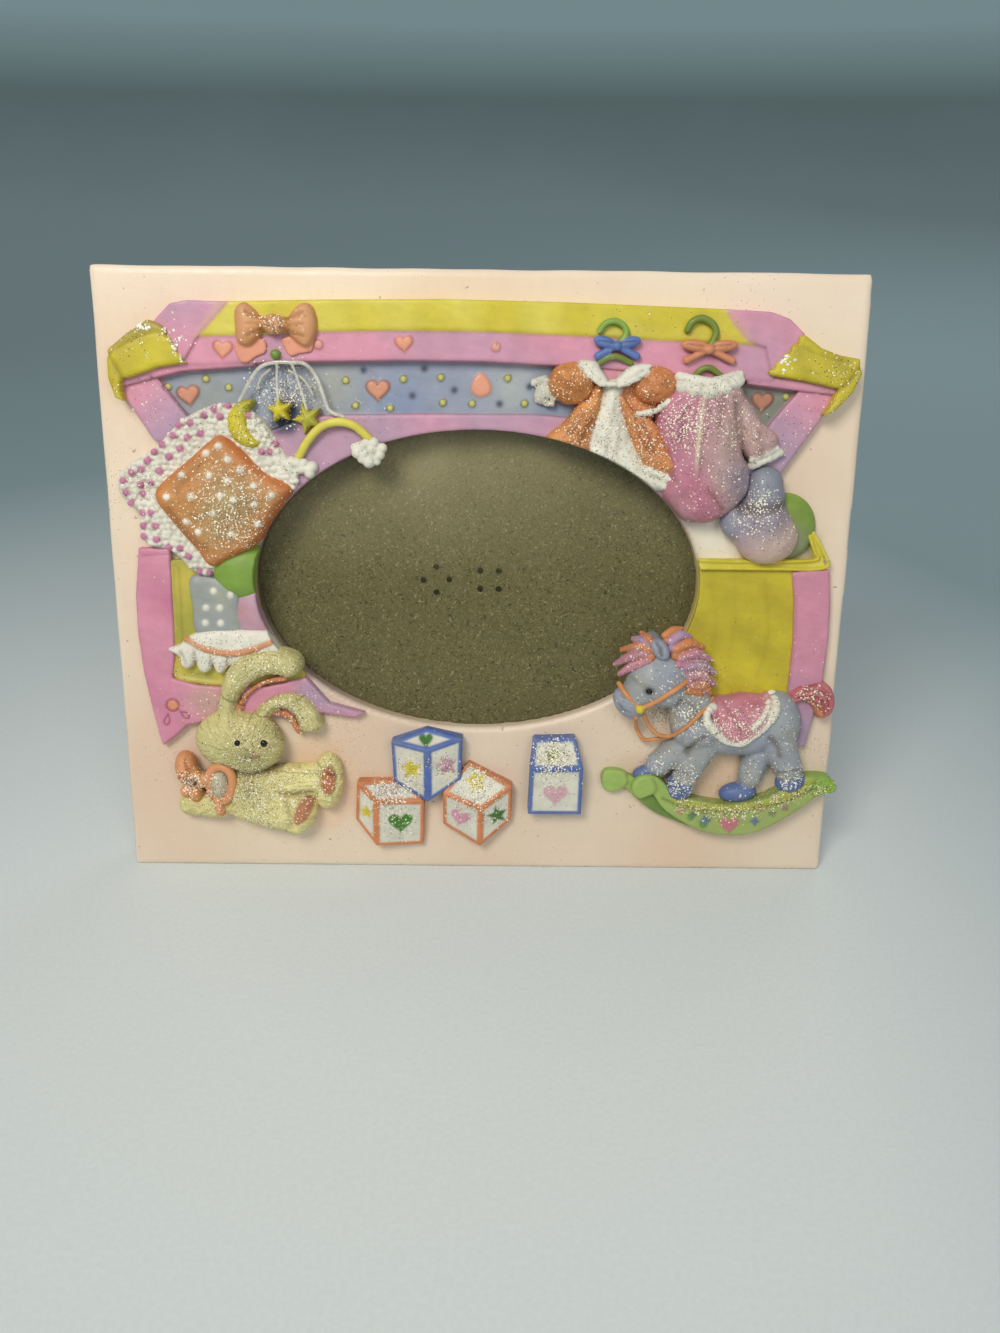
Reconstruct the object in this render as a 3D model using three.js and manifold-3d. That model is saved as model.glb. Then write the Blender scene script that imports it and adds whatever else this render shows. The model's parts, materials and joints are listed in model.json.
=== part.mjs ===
// A nursery picture frame that stands on a table: a leaning resin plate with an oval window, a cast relief of
// an open toy chest and its toys round the window, and at the back the glass, the board, four turn buttons and a
// folding easel strut. Millimetres, +Z up. The origin is the middle of the face that the plate stands on.

import * as THREE from 'three';
import { mergeVertices } from 'three/addons/utils/BufferGeometryUtils.js';
import { ConvexGeometry } from 'three/addons/geometries/ConvexGeometry.js';
import Module from 'manifold-3d';

// Plate and window
const PLATE_WIDTH = 192.4;
const PLATE_HEIGHT = 158.2;
const PLATE_THICKNESS = 10;
const PLATE_CORNER = 2.5;
const LEAN_DEG = 14;
const WINDOW_WIDTH = 116;
const WINDOW_HEIGHT = 79;
const WINDOW_OFFSET = -0.5;
const WINDOW_RISE = 1.3;

// Print, glass and board in the rebate
const PRINT_WIDTH = 127;
const PRINT_HEIGHT = 89;
const PRINT_EASE = 0.8;
const LIP = 5;
const GLASS_THICKNESS = 2;
const BOARD_THICKNESS = 2.2;

// Turn buttons and their screws
const BUTTON_LENGTH = 18;
const BUTTON_WIDTH = 7;
const BUTTON_THICKNESS = 0.8;
const BUTTON_FROM_SIDE = 15;
const BUTTON_FROM_EDGE = 6;
const SCREW_RADIUS = 1.2;
const SCREW_DEPTH = 5;
const SCREW_HEAD_RADIUS = 2.8;
const SCREW_HEAD_HEIGHT = 1.6;

// Hinge between the board and the strut
const HINGE_OFFSET = -4.75;
const HINGE_WIDTH = 28;
const HINGE_DROP = 8;
const LEAF_THICKNESS = 0.8;
const LEAF_HEIGHT = 13;
const KNUCKLE_RADIUS = 2;
const KNUCKLE_WIDTH = 7;
const PIN_RADIUS = 1;
const PIN_HEAD_RADIUS = 1.6;
const PIN_HEAD = 0.6;
const STOP_REACH = 1.5;

// Rivets: pronged ones through the board, plain ones through the strut
const RIVET_SPACING = 14.3;
const RIVET_HEAD = 0.7;
const RIVET_HEAD_RADIUS = 4.4;
const PRONG_CIRCLE = 3.5;
const PRONG_RADIUS = 0.5;
const STRUT_RIVET_RADIUS = 1.2;
const STRUT_RIVET_HEAD_RADIUS = 2.4;

// Easel strut
const OPEN_DEG = 28;
const STRUT_THICKNESS = 2.5;
const STRUT_TOP_WIDTH = 30;
const STRUT_FOOT_WIDTH = 48;

// How far the highest figure of the relief stands off the plate
const RELIEF_HEIGHT = 11.6;

// The relief as drawn: the edges of the plate and of the window that it was drawn on, from left to right and
// from the base up, its highest point, the lines at the left and right that the chest is drawn from, the heights
// of the chest's faces, and where the figures stand. It is stretched to the plate, the window and the relief height
// that are built.
const DRAWN = {
  across: [-96.2, -58.5, 57.5, 96.2], up: [-1.4, 39.5, 118.5, 156.8], out: 11.6, chest: [-95, 95],
};
const RISE = { lid: 5, rail: 2.6, lining: 1.2, cap: 6.4, chest: 2.8, panel: 1.6, rim: 3.6 };
const PLACES = {
  lid: [0, 149.5],
  mobile: [-50, 134],
  dress: [34, 119],
  romper: [58, 119],
  sock: [72, 96],
  pillow: [-67, 101],
  bunny: [-62, 29],
  blocks: [0, 24],
  horse: [68, 43],
};

// Fits: the gap that touching pieces keep, the smallest chamfer and the weld of coincident corners
const FIT = 0.3;
const CHAMFER = 0.4;
const WELD = 1e-4;

// Faces of the round solids
const BALL_SIDES = 10;
const BALL_RINGS = 6;
const LIMB_SIDES = 8;
const CAP_STEPS = 2;
const TUBE_SIDES = 6;
const CORNER_STEPS = 4;
const PRONG_SIDES = 8;
const BORE_SIDES = 14;
const WINDOW_SIDES = 72;
const REACH = 300;

const wasm = await Module();
wasm.setup();

const lean = THREE.MathUtils.degToRad(LEAN_DEG);
const opening = THREE.MathUtils.degToRad(OPEN_DEG);
const windowY = PLATE_HEIGHT / 2 + WINDOW_RISE;

// Depths behind the plate's face
const glassFront = -LIP - FIT;
const boardFront = glassFront - GLASS_THICKNESS - FIT;
const boardBack = boardFront - BOARD_THICKNESS;
const leafBack = boardBack - FIT - LEAF_THICKNESS;
const hinge = [HINGE_OFFSET, windowY - HINGE_DROP, boardBack - FIT - KNUCKLE_RADIUS];

// From geometries to solids, and back

function solid(geometry) {
  const bare = new THREE.BufferGeometry();
  bare.setAttribute('position', geometry.getAttribute('position'));
  bare.setIndex(geometry.getIndex());
  const merged = mergeVertices(bare, WELD);
  const corners = merged.getIndex().array;
  const triangles = [];
  for (let i = 0; i < corners.length; i += 3) {
    const [a, b, c] = corners.slice(i, i + 3);
    if (a !== b && b !== c && c !== a) triangles.push(a, b, c);
  }
  return new wasm.Manifold(new wasm.Mesh({
    numProp: 3,
    vertProperties: new Float32Array(merged.getAttribute('position').array),
    triVerts: new Uint32Array(triangles),
  }));
}

function geometryOf(body) {
  const { vertProperties, triVerts } = body.getMesh();
  const geometry = new THREE.BufferGeometry();
  geometry.setAttribute('position', new THREE.BufferAttribute(vertProperties, 3));
  geometry.setIndex(new THREE.BufferAttribute(triVerts, 1));
  geometry.computeVertexNormals();
  return geometry;
}

function join(bodies) {
  return bodies.reduce((sum, body) => sum.add(body));
}

function cutAway(body, cutters) {
  return cutters.reduce((rest, cutter) => rest.subtract(cutter), body);
}

// The biggest piece of a body, without the slivers that a cut can leave beside it.
function largest(body) {
  return body.decompose().reduce((a, b) => (a.volume() > b.volume() ? a : b));
}

// Outlines

function outline(points) {
  return new THREE.Shape(points.map(([x, y]) => new THREE.Vector2(x, y)));
}

function curved(points, steps = points.length * 3) {
  const corners = points.map(([x, y]) => new THREE.Vector3(x, y, 0));
  const curve = new THREE.CatmullRomCurve3(corners, true, 'centripetal');
  return outline(curve.getPoints(steps).slice(0, -1).map(({ x, y }) => [x, y]));
}

function circle(x, y, radius, sides) {
  const points = [];
  for (let i = 0; i < sides; i++) {
    const angle = (2 * Math.PI * i) / sides;
    points.push([x + radius * Math.cos(angle), y + radius * Math.sin(angle)]);
  }
  return outline(points);
}

function rectangle(x, y, width, height) {
  const [w, h] = [width / 2, height / 2];
  return outline([[x - w, y - h], [x + w, y - h], [x + w, y + h], [x - w, y + h]]);
}

function roundedRectangle(width, height, radius) {
  const shape = new THREE.Shape();
  const w = width / 2;
  shape.moveTo(-w + radius, 0);
  shape.lineTo(w - radius, 0);
  shape.absarc(w - radius, radius, radius, -Math.PI / 2, 0);
  shape.lineTo(w, height - radius);
  shape.absarc(w - radius, height - radius, radius, 0, Math.PI / 2);
  shape.lineTo(-w + radius, height);
  shape.absarc(-w + radius, height - radius, radius, Math.PI / 2, Math.PI);
  shape.lineTo(-w, radius);
  shape.absarc(-w + radius, radius, radius, Math.PI, 1.5 * Math.PI);
  return shape;
}

function star(x, y, radius, inner, turn) {
  const points = [];
  for (let i = 0; i < 10; i++) {
    const angle = turn + (Math.PI * i) / 5;
    const r = i % 2 ? inner : radius;
    points.push([x + r * Math.cos(angle), y + r * Math.sin(angle)]);
  }
  return outline(points);
}

// Solids

function prism(shape, low, high) {
  const geometry = new THREE.ExtrudeGeometry(shape, {
    depth: high - low,
    bevelEnabled: false,
    curveSegments: CORNER_STEPS,
  });
  return solid(geometry.translate(0, 0, low));
}

// A slab with rounded edges, from below the plate's face up to its height. It is trimmed where it seats.
function slab(shape, high, grow, edge = CHAMFER, rise = edge, steps = 1) {
  const geometry = new THREE.ExtrudeGeometry(shape, {
    depth: high + grow,
    bevelThickness: rise,
    bevelSize: edge,
    bevelOffset: grow - edge,
    bevelSegments: steps,
  });
  return solid(geometry.translate(0, 0, -rise));
}

function ball([x, y, z], [rx, ry, rz], grow, turn = 0) {
  const geometry = new THREE.SphereGeometry(1, BALL_SIDES, BALL_RINGS);
  geometry.rotateX(Math.PI / 2);
  geometry.scale(rx + grow, ry + grow, rz + grow);
  geometry.rotateZ(turn);
  return solid(geometry.translate(x, y, z));
}

// A round-ended, tapering limb between two points.
function limb(from, to, radiusFrom, radiusTo, grow) {
  const start = new THREE.Vector3(...from);
  const way = new THREE.Vector3(...to).sub(start);
  const length = way.length();
  const profile = [];
  for (let i = -CAP_STEPS; i <= CAP_STEPS; i++) {
    const angle = (Math.PI / 2) * (i / CAP_STEPS);
    const radius = (i < 0 ? radiusFrom : radiusTo) + grow;
    if (i === 0) profile.push(new THREE.Vector2(radiusFrom + grow, 0));
    const x = Math.abs(i) === CAP_STEPS ? 0 : radius * Math.cos(angle);
    profile.push(new THREE.Vector2(x, (i < 0 ? 0 : length) + radius * Math.sin(angle)));
  }
  const turn = new THREE.Quaternion().setFromUnitVectors(new THREE.Vector3(0, 1, 0), way.normalize());
  const geometry = new THREE.LatheGeometry(profile, LIMB_SIDES).applyQuaternion(turn);
  return solid(geometry.translate(start.x, start.y, start.z));
}

// Limbs along a row of points, with a radius at each.
function chain(points, radii, grow) {
  const bodies = [];
  for (let i = 1; i < points.length; i++) {
    bodies.push(limb(points[i - 1], points[i], radii[i - 1], radii[i], grow));
  }
  return join(bodies);
}

function tube(points, radius, grow, steps) {
  const path = new THREE.CatmullRomCurve3(points.map((p) => new THREE.Vector3(...p)));
  const section = circle(0, 0, radius + grow, TUBE_SIDES);
  return solid(new THREE.ExtrudeGeometry(section, { extrudePath: path, steps, bevelEnabled: false }));
}

// A round bar along x, and along the plate's thickness.
function barAlongX(from, to, y, z, radius) {
  const geometry = new THREE.CylinderGeometry(radius, radius, to - from, BORE_SIDES);
  geometry.rotateZ(Math.PI / 2);
  return solid(geometry.translate((from + to) / 2, y, z));
}

function barThrough(x, y, low, high, radius, sides = BORE_SIDES) {
  return prism(circle(x, y, radius, sides), low, high);
}

// A toy block in relief: its three faces meet at the middle corner, and its sides stand straight off the plate.
function block(middle, near, far, height, drop, grow) {
  const corner = ([x, y], z) => {
    const out = new THREE.Vector2(x - middle[0], y - middle[1]);
    out.setLength(out.length() + grow);
    return new THREE.Vector3(middle[0] + out.x, middle[1] + out.y, z);
  };
  const top = new THREE.Vector3(...middle, height + grow);
  const oneEdgeAway = near.map((p) => corner(p, height - drop + grow));
  const twoEdgesAway = far.map((p) => corner(p, height - 2 * drop + grow));
  const base = [...near, ...far].map((p) => corner(p, 0));
  return solid(new ConvexGeometry([top, ...oneEdgeAway, ...twoEdgesAway, ...base]));
}

// The scene graph: everything on the plate's own frame, x right, y up the plate, z out of its face.

const picture = new THREE.Group();
const plateFrame = new THREE.Group();
plateFrame.rotation.x = Math.PI / 2 - lean;
plateFrame.position.y = -PLATE_THICKNESS / (2 * Math.cos(lean));
picture.add(plateFrame);

const strutFrame = new THREE.Group();
strutFrame.position.set(...hinge);
strutFrame.rotation.x = opening;
plateFrame.add(strutFrame);
picture.updateMatrixWorld(true);

function material(color, roughness, metalness) {
  return new THREE.MeshStandardMaterial({ color, roughness, metalness });
}

const CREAM = material(0xecdac4, 0.5, 0);
const PINK = material(0xd08cb4, 0.5, 0);
const YELLOW = material(0xcdbe3c, 0.5, 0);
const ORANGE = material(0xcd824b, 0.5, 0);
const GREEN = material(0x82aa4b, 0.5, 0);
const LAVENDER = material(0x9696be, 0.5, 0);
const BLUE = material(0x506eb4, 0.5, 0);
const WHITE = material(0xe1e1d2, 0.5, 0);
const FUR = material(0xd7d096, 0.6, 0);
const GREY = material(0x969ba5, 0.5, 0);
const GLASS = material(0xdfe6e4, 0.05, 0);
const CHIPBOARD = material(0x736c50, 0.9, 0);
const STEEL = material(0xb8b8b4, 0.35, 1);
const BRASS = material(0xb99a52, 0.35, 1);

function piece(name, look, body, parent = plateFrame) {
  const mesh = new THREE.Mesh(geometryOf(body), look);
  mesh.name = name;
  parent.add(mesh);
}

// What is under the table top, in the frame of a group.
function floorIn(group) {
  const under = new THREE.BoxGeometry(REACH, REACH, REACH).translate(0, 0, -REACH / 2);
  return solid(under.applyMatrix4(group.matrixWorld.clone().invert()));
}

// Plate, glass and board

const rebateWidth = PRINT_WIDTH + 2 * PRINT_EASE;
const rebateHeight = PRINT_HEIGHT + 2 * PRINT_EASE;

function oval() {
  const shape = new THREE.Shape();
  shape.absellipse(WINDOW_OFFSET, windowY, WINDOW_WIDTH / 2, WINDOW_HEIGHT / 2, 0, 2 * Math.PI);
  const geometry = new THREE.ExtrudeGeometry(shape, {
    depth: 2 * REACH,
    bevelEnabled: false,
    curveSegments: WINDOW_SIDES / 2,
  });
  return solid(geometry.translate(0, 0, -REACH));
}

const windowHole = oval();

const buttonPlaces = [];
for (const [side, sideName] of [[-1, 'left'], [1, 'right']]) {
  for (const [end, endName] of [[1, 'top'], [-1, 'bottom']]) {
    const x = WINDOW_OFFSET + side * (rebateWidth / 2 - BUTTON_FROM_SIDE);
    const y = windowY + end * (rebateHeight / 2 + BUTTON_FROM_EDGE);
    buttonPlaces.push({ name: `${endName}_${sideName}`, x, y, end });
  }
}

function framePlate() {
  const outer = prism(roundedRectangle(PLATE_WIDTH, PLATE_HEIGHT, PLATE_CORNER), -PLATE_THICKNESS, 0);
  const behind = -2 * PLATE_THICKNESS;
  const rebate = prism(rectangle(WINDOW_OFFSET, windowY, rebateWidth, rebateHeight), behind, -LIP);
  const pilotEnd = -PLATE_THICKNESS + SCREW_DEPTH + FIT;
  const pilots = buttonPlaces.map(({ x, y }) => barThrough(x, y, behind, pilotEnd, SCREW_RADIUS + FIT));
  return cutAway(outer, [windowHole, rebate, ...pilots, floorIn(plateFrame)]);
}

const rivetPlaces = [-1, 1].map((side) => HINGE_OFFSET + (side * RIVET_SPACING) / 2);

// The photo shows the left rivet's prongs upright and across, and the right one's on the diagonals
function prongPlaces(x) {
  const start = x < HINGE_OFFSET ? 0 : Math.PI / 4;
  return [0, 1, 2, 3].map((i) => {
    const angle = start + (i * Math.PI) / 2;
    return [x + PRONG_CIRCLE * Math.cos(angle), windowY + PRONG_CIRCLE * Math.sin(angle)];
  });
}

function backingBoard() {
  const board = prism(rectangle(WINDOW_OFFSET, windowY, PRINT_WIDTH, PRINT_HEIGHT), boardBack, boardFront);
  const holes = rivetPlaces.flatMap(prongPlaces).map(([x, y]) =>
    barThrough(x, y, -REACH, REACH, PRONG_RADIUS + FIT, PRONG_SIDES));
  return cutAway(board, holes);
}

function boardRivet(x) {
  const headFront = leafBack - FIT;
  const head = barThrough(x, windowY, headFront - RIVET_HEAD, headFront, RIVET_HEAD_RADIUS);
  const prongs = prongPlaces(x).map(([px, py]) =>
    barThrough(px, py, headFront, boardFront, PRONG_RADIUS, PRONG_SIDES));
  return join([head, ...prongs]);
}

piece('frame_plate', CREAM, framePlate());
const paneShape = rectangle(WINDOW_OFFSET, windowY, PRINT_WIDTH, PRINT_HEIGHT);
piece('glass_pane', GLASS, prism(paneShape, glassFront - GLASS_THICKNESS, glassFront));
piece('backing_board', CHIPBOARD, backingBoard());
['left', 'right'].forEach((side, i) => piece(`board_rivet_${side}`, STEEL, boardRivet(rivetPlaces[i])));

// Turn buttons, each pointing over the board, and their screws

function turnButton({ x, y, end }) {
  const back = -PLATE_THICKNESS - FIT - BUTTON_THICKNESS;
  const r = BUTTON_WIDTH / 2;
  const shape = new THREE.Shape();
  shape.absarc(x, y, r, 0, Math.PI, end < 0);
  shape.absarc(x, y - end * (BUTTON_LENGTH - 2 * r), r, Math.PI, 2 * Math.PI, end < 0);
  const blank = prism(shape, back, back + BUTTON_THICKNESS);
  return blank.subtract(barThrough(x, y, -REACH, REACH, SCREW_RADIUS + FIT));
}

function buttonScrew({ x, y }) {
  const headFront = -PLATE_THICKNESS - 2 * FIT - BUTTON_THICKNESS;
  const profile = [
    [0, -SCREW_HEAD_HEIGHT],
    [0.6 * SCREW_HEAD_RADIUS, -SCREW_HEAD_HEIGHT],
    [SCREW_HEAD_RADIUS, -0.4 * SCREW_HEAD_HEIGHT],
    [SCREW_HEAD_RADIUS, 0],
    [SCREW_RADIUS, 0],
    [SCREW_RADIUS, SCREW_DEPTH],
    [0, SCREW_DEPTH + SCREW_RADIUS / 2],
  ];
  const geometry = new THREE.LatheGeometry(profile.map((p) => new THREE.Vector2(...p)), BORE_SIDES);
  return solid(geometry.rotateX(Math.PI / 2).translate(x, y, headFront));
}

for (const place of buttonPlaces) {
  piece(`turn_button_${place.name}`, BRASS, turnButton(place));
  piece(`button_screw_${place.name}`, STEEL, buttonScrew(place));
}

// Hinge and strut. The strut's pieces are drawn folded flat, from the hinge axis, and their group opens them.

const [hingeX, hingeY, hingeZ] = hinge;
const knuckleEnd = HINGE_WIDTH / 2 - KNUCKLE_WIDTH;

function fixedLeaf() {
  const plate = prism(
    rectangle(hingeX, hingeY + LEAF_HEIGHT / 2, HINGE_WIDTH, LEAF_HEIGHT), leafBack, boardBack - FIT);
  const sides = [-1, 1].map((side) => {
    const ends = [hingeX + side * knuckleEnd, hingeX + (side * HINGE_WIDTH) / 2].sort((a, b) => a - b);
    return barAlongX(...ends, hingeY, hingeZ, KNUCKLE_RADIUS);
  });
  const middle = prism(
    rectangle(hingeX, hingeY, 2 * knuckleEnd, 2 * (KNUCKLE_RADIUS + FIT)), -REACH, REACH);
  const rivetHoles = rivetPlaces.map((x) =>
    barThrough(x, windowY, -REACH, REACH, PRONG_CIRCLE + PRONG_RADIUS + FIT));
  const bore = barAlongX(-REACH, REACH, hingeY, hingeZ, PIN_RADIUS + FIT);
  return cutAway(join([plate.subtract(middle), ...sides]), [bore, ...rivetHoles]);
}

function hingePin() {
  const half = HINGE_WIDTH / 2;
  const heads = [-1, 1].map((side) => {
    const middle = hingeX + side * (half + FIT + PIN_HEAD / 2);
    return barAlongX(middle - PIN_HEAD / 2, middle + PIN_HEAD / 2, hingeY, hingeZ, PIN_HEAD_RADIUS);
  });
  const end = half + FIT + PIN_HEAD / 2;
  return join([barAlongX(hingeX - end, hingeX + end, hingeY, hingeZ, PIN_RADIUS), ...heads]);
}

const strutLeafFront = -KNUCKLE_RADIUS + LEAF_THICKNESS;
const strutBack = strutLeafFront + FIT;
const strutTop = -KNUCKLE_RADIUS - 2 * FIT;
const strutRivetY = strutTop - LEAF_HEIGHT / 2 + STRUT_RIVET_HEAD_RADIUS / 2;

// The tab that meets the fixed leaf when the strut is open.
function stopTab() {
  const reach = KNUCKLE_RADIUS + STOP_REACH;
  const front = leafBack - hingeZ - FIT;
  const tab = new THREE.BoxGeometry(2 * (knuckleEnd - FIT), reach, LEAF_THICKNESS);
  tab.translate(0, reach / 2, front - LEAF_THICKNESS / 2).rotateX(-opening);
  return solid(tab);
}

function strutLeaf() {
  const plate = prism(
    rectangle(0, -LEAF_HEIGHT / 2, 2 * (knuckleEnd - FIT), LEAF_HEIGHT), -KNUCKLE_RADIUS, strutLeafFront);
  const wideShape = rectangle(0, (strutTop - LEAF_HEIGHT) / 2, HINGE_WIDTH, LEAF_HEIGHT + strutTop);
  const wide = prism(wideShape, -KNUCKLE_RADIUS, strutLeafFront);
  const knuckle = barAlongX(-knuckleEnd + FIT, knuckleEnd - FIT, 0, 0, KNUCKLE_RADIUS);
  const bore = barAlongX(-REACH, REACH, 0, 0, PIN_RADIUS + FIT);
  const holes = [-1, 1].map((side) =>
    barThrough((side * RIVET_SPACING) / 2, strutRivetY, -REACH, REACH, STRUT_RIVET_RADIUS + FIT));
  return cutAway(join([plate, wide, knuckle, stopTab()]), [bore, ...holes]);
}

function easelStrut() {
  const end = -hingeY - PLATE_THICKNESS;
  const [top, foot] = [STRUT_TOP_WIDTH / 2, STRUT_FOOT_WIDTH / 2];
  const shape = outline([[-foot, end], [foot, end], [top, strutTop], [-top, strutTop]]);
  const holes = [-1, 1].map((side) =>
    barThrough((side * RIVET_SPACING) / 2, strutRivetY, -REACH, REACH, STRUT_RIVET_RADIUS + FIT));
  return cutAway(prism(shape, strutBack, strutBack + STRUT_THICKNESS), [...holes, floorIn(strutFrame)]);
}

function strutRivet(x) {
  const headFront = -KNUCKLE_RADIUS - FIT;
  const head = barThrough(x, strutRivetY, headFront - RIVET_HEAD, headFront, STRUT_RIVET_HEAD_RADIUS);
  return head.add(barThrough(x, strutRivetY, headFront, strutBack + STRUT_THICKNESS, STRUT_RIVET_RADIUS));
}

piece('fixed_hinge_leaf', STEEL, fixedLeaf());
piece('hinge_pin', STEEL, hingePin());
piece('strut_hinge_leaf', STEEL, strutLeaf(), strutFrame);
piece('easel_strut', CHIPBOARD, easelStrut(), strutFrame);
[['left', -1], ['right', 1]].forEach(([side, sign]) =>
  piece(`strut_rivet_${side}`, STEEL, strutRivet((sign * RIVET_SPACING) / 2), strutFrame));

// The relief, drawn on its own plate. Each piece is a function of how far it is grown: a piece itself has no
// growth, and the room that it takes from the pieces listed after it is the same piece grown by the fit.

const [left, right] = DRAWN.chest;

function at([x, y]) {
  return (points) => points.map(([dx, dy, ...rest]) => [x + dx, y + dy, ...rest]);
}

// Mobile on the lid

const mobileAt = at(PLACES.mobile);

function mobileStrings(grow) {
  const [[x, y]] = mobileAt([[0, 0]]);
  const spread = [[-9.5, -9.5, -6.5, -2.5], [-2.5, -9, -2.2, -3], [5.5, -9.5, 4.2, -3],
    [11.5, -12.5, 8, -3.5]];
  const strings = spread.map(([endX, endY, bendX, bendY]) =>
    tube([[x, y, 3.6], [x + bendX, y + bendY, 4], [x + endX, y + endY, 3.2]], 0.7, grow, 5));
  return join([ball([x, y + 1, 4], [1.8, 1.8, 3], grow), ...strings]);
}

function moon(grow) {
  const [[x, y]] = mobileAt([[-9, -15.5]]);
  const bite = prism(circle(x + 4.4, y + 1.2, 4.6 - grow, BORE_SIDES), -REACH, REACH);
  return slab(circle(x, y, 6, BORE_SIDES), 4.6, grow, 0.9).subtract(bite);
}

function starAt(place, radius, turn) {
  return (grow) => {
    const [[x, y]] = mobileAt([place]);
    return slab(star(x, y, radius, 0.5 * radius, turn), 5.2, grow, 0.5);
  };
}

function rainbow(grow) {
  const arch = mobileAt([[4.5, -22.5, 3.4], [7.5, -17, 4], [13, -14, 4.2], [18.5, -15, 4.2],
    [22, -18.5, 3.6]]);
  return tube(arch, 1.3, grow, 10);
}

function cloud(place, size) {
  const puffs = [[-2.9, -0.4, 2.5], [0, 0.7, 2.8], [2.9, -0.1, 2.4]];
  return (grow) => join(puffs.map(([dx, dy, radius]) => {
    const [[x, y]] = mobileAt([[place[0] + size * dx, place[1] + size * dy]]);
    return ball([x, y, 3], [size * radius, 0.85 * size * radius, 3], grow);
  }));
}

// Bows and hangers, which sit on the lid's band

function bow(place, width, height) {
  const [x, y] = place;
  const [w, h] = [width / 2, height / 2];
  const z = RISE.lid + 1;
  return (grow) => join([
    ball([x - 0.55 * w, y, z], [0.5 * w, h, 2.6], grow, 0.2),
    ball([x + 0.55 * w, y, z], [0.5 * w, h, 2.6], grow, -0.2),
    ball([x, y, z], [0.25 * w, 0.55 * h, 3.4], grow),
  ]);
}

function hanger(hook, radius, place, width, height) {
  const ribbon = bow(place, width, height);
  const [x, y] = hook;
  const z = RISE.lid + 1;
  return (grow) => {
    const bend = [150, 90, 30, -30, -80].map((degrees) => {
      const angle = THREE.MathUtils.degToRad(degrees);
      return [x + radius * Math.cos(angle), y + radius * Math.sin(angle), z];
    });
    return ribbon(grow).add(tube([...bend, [...place, z]], 0.9, grow, 10));
  };
}

// Clothes

const dressAt = at(PLACES.dress);
const romperAt = at(PLACES.romper);

function dress(grow) {
  const skirt = curved(dressAt([[-18.5, -1.5], [-9, 4], [-4, 12], [5, 12], [9, 3], [15, -8], [19, -14.5],
    [10, -17], [-4, -9]]));
  const [leftPuff, rightPuff, collar] = dressAt([[-12, 11, 3], [9.5, 11.5, 3], [-1.5, 14.8, 3.4]]);
  return join([
    slab(skirt, 7, grow, 2, 3, 3),
    ball(leftPuff, [6.2, 5.8, 5], grow),
    ball(rightPuff, [6.2, 5.4, 5], grow),
    ball(collar, [8, 2.4, 4.4], grow),
  ]);
}

function romper(grow) {
  const torso = curved(romperAt([[-9.5, 10], [-13, 4], [-9, -6], [-7, -17], [-4.5, -21.5], [1.5, -22.5],
    [7.5, -20], [9, -12], [9.5, -4], [8.5, 10], [0, 13]]));
  const [shoulder, wrist] = romperAt([[6, 7, 3], [13, -2.5, 3]]);
  const [cuffLow, cuffHigh] = romperAt([[9.5, -7, 3], [17, -4, 3]]);
  return join([
    slab(torso, 8, grow, 2, 3.5, 3),
    limb(shoulder, wrist, 4.6, 5.4, grow),
    limb(cuffLow, cuffHigh, 1.5, 1.5, grow),
    chain(romperAt([[-9.5, 12.5, 4.5], [-1, 11.2, 6], [6.5, 12.5, 4.5]]), [2.4, 2.6, 2.4], grow),
  ]);
}

function sock(grow) {
  const [foot, ankle, cuff, toe] = at(PLACES.sock)([[1, -3, 3], [-1, 3, 3], [0, 10, 2.6], [-6, 1, 2.4]]);
  return join([
    ball(foot, [8.4, 7.6, 5.4], grow),
    limb(ankle, cuff, 6, 4.6, grow),
    ball(toe, [4.2, 4, 4], grow),
  ]);
}

function sockBall(grow) {
  const [place] = at(PLACES.sock)([[4, -0.5, 0.5]]);
  return ball(place, [8.8, 8.8, 3.4], grow);
}

// Pillow and what lies in the chest at the left

const pillowAt = at(PLACES.pillow);

function pillow(grow) {
  const shape = curved(pillowAt([[1.5, 15.4], [9.5, 10], [17, 3], [7, -7.5], [-3, -17], [-10, -7], [-16, 2],
    [-8, 9]]));
  const [crown] = pillowAt([[0.5, -0.5, 0]]);
  return slab(shape, 9, grow).intersect(ball(crown, [20, 20, 8.5], grow));
}

function pillowLace(grow) {
  const shape = outline(pillowAt([[-25, 3], [-22, -2.5], [-20, -5], [-20.5, -11], [-17, -13.2], [-13, -13.5],
    [-9, -17], [-3.5, -20.5], [0, -19], [18, 3], [15, 10], [9, 17], [6, 22.5], [-3, 20.5], [-8, 18],
    [-14, 14.5], [-18, 10.5], [-24, 8]]));
  return slab(shape, 4.2, grow, 0.6);
}

function greenBall(grow) {
  const [place] = pillowAt([[5, -19, 0.5]]);
  return ball(place, [7.6, 7.6, 4.4], grow);
}

function dottedDrum(grow) {
  const shape = curved(pillowAt([[-7, -20.5], [3.5, -22], [4, -28.5], [3.5, -35.5], [-6.5, -35.5],
    [-7.5, -28]]));
  return slab(shape, 3.4, grow, 1);
}

function pinkBall(grow) {
  const [place] = pillowAt([[8.5, -30, 0.5]]);
  return ball(place, [6.8, 8, 3.2], grow);
}

function dollSkirt(grow) {
  const shape = curved(pillowAt([[-8.5, -35], [2, -34.5], [11, -36], [12, -41], [6, -44.5], [-2, -45.5],
    [-9, -45.5], [-15, -40.5]]));
  return slab(shape, 4.6, grow, 1.2);
}

// Bunny and its bow

const bunnyAt = at(PLACES.bunny);

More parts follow.
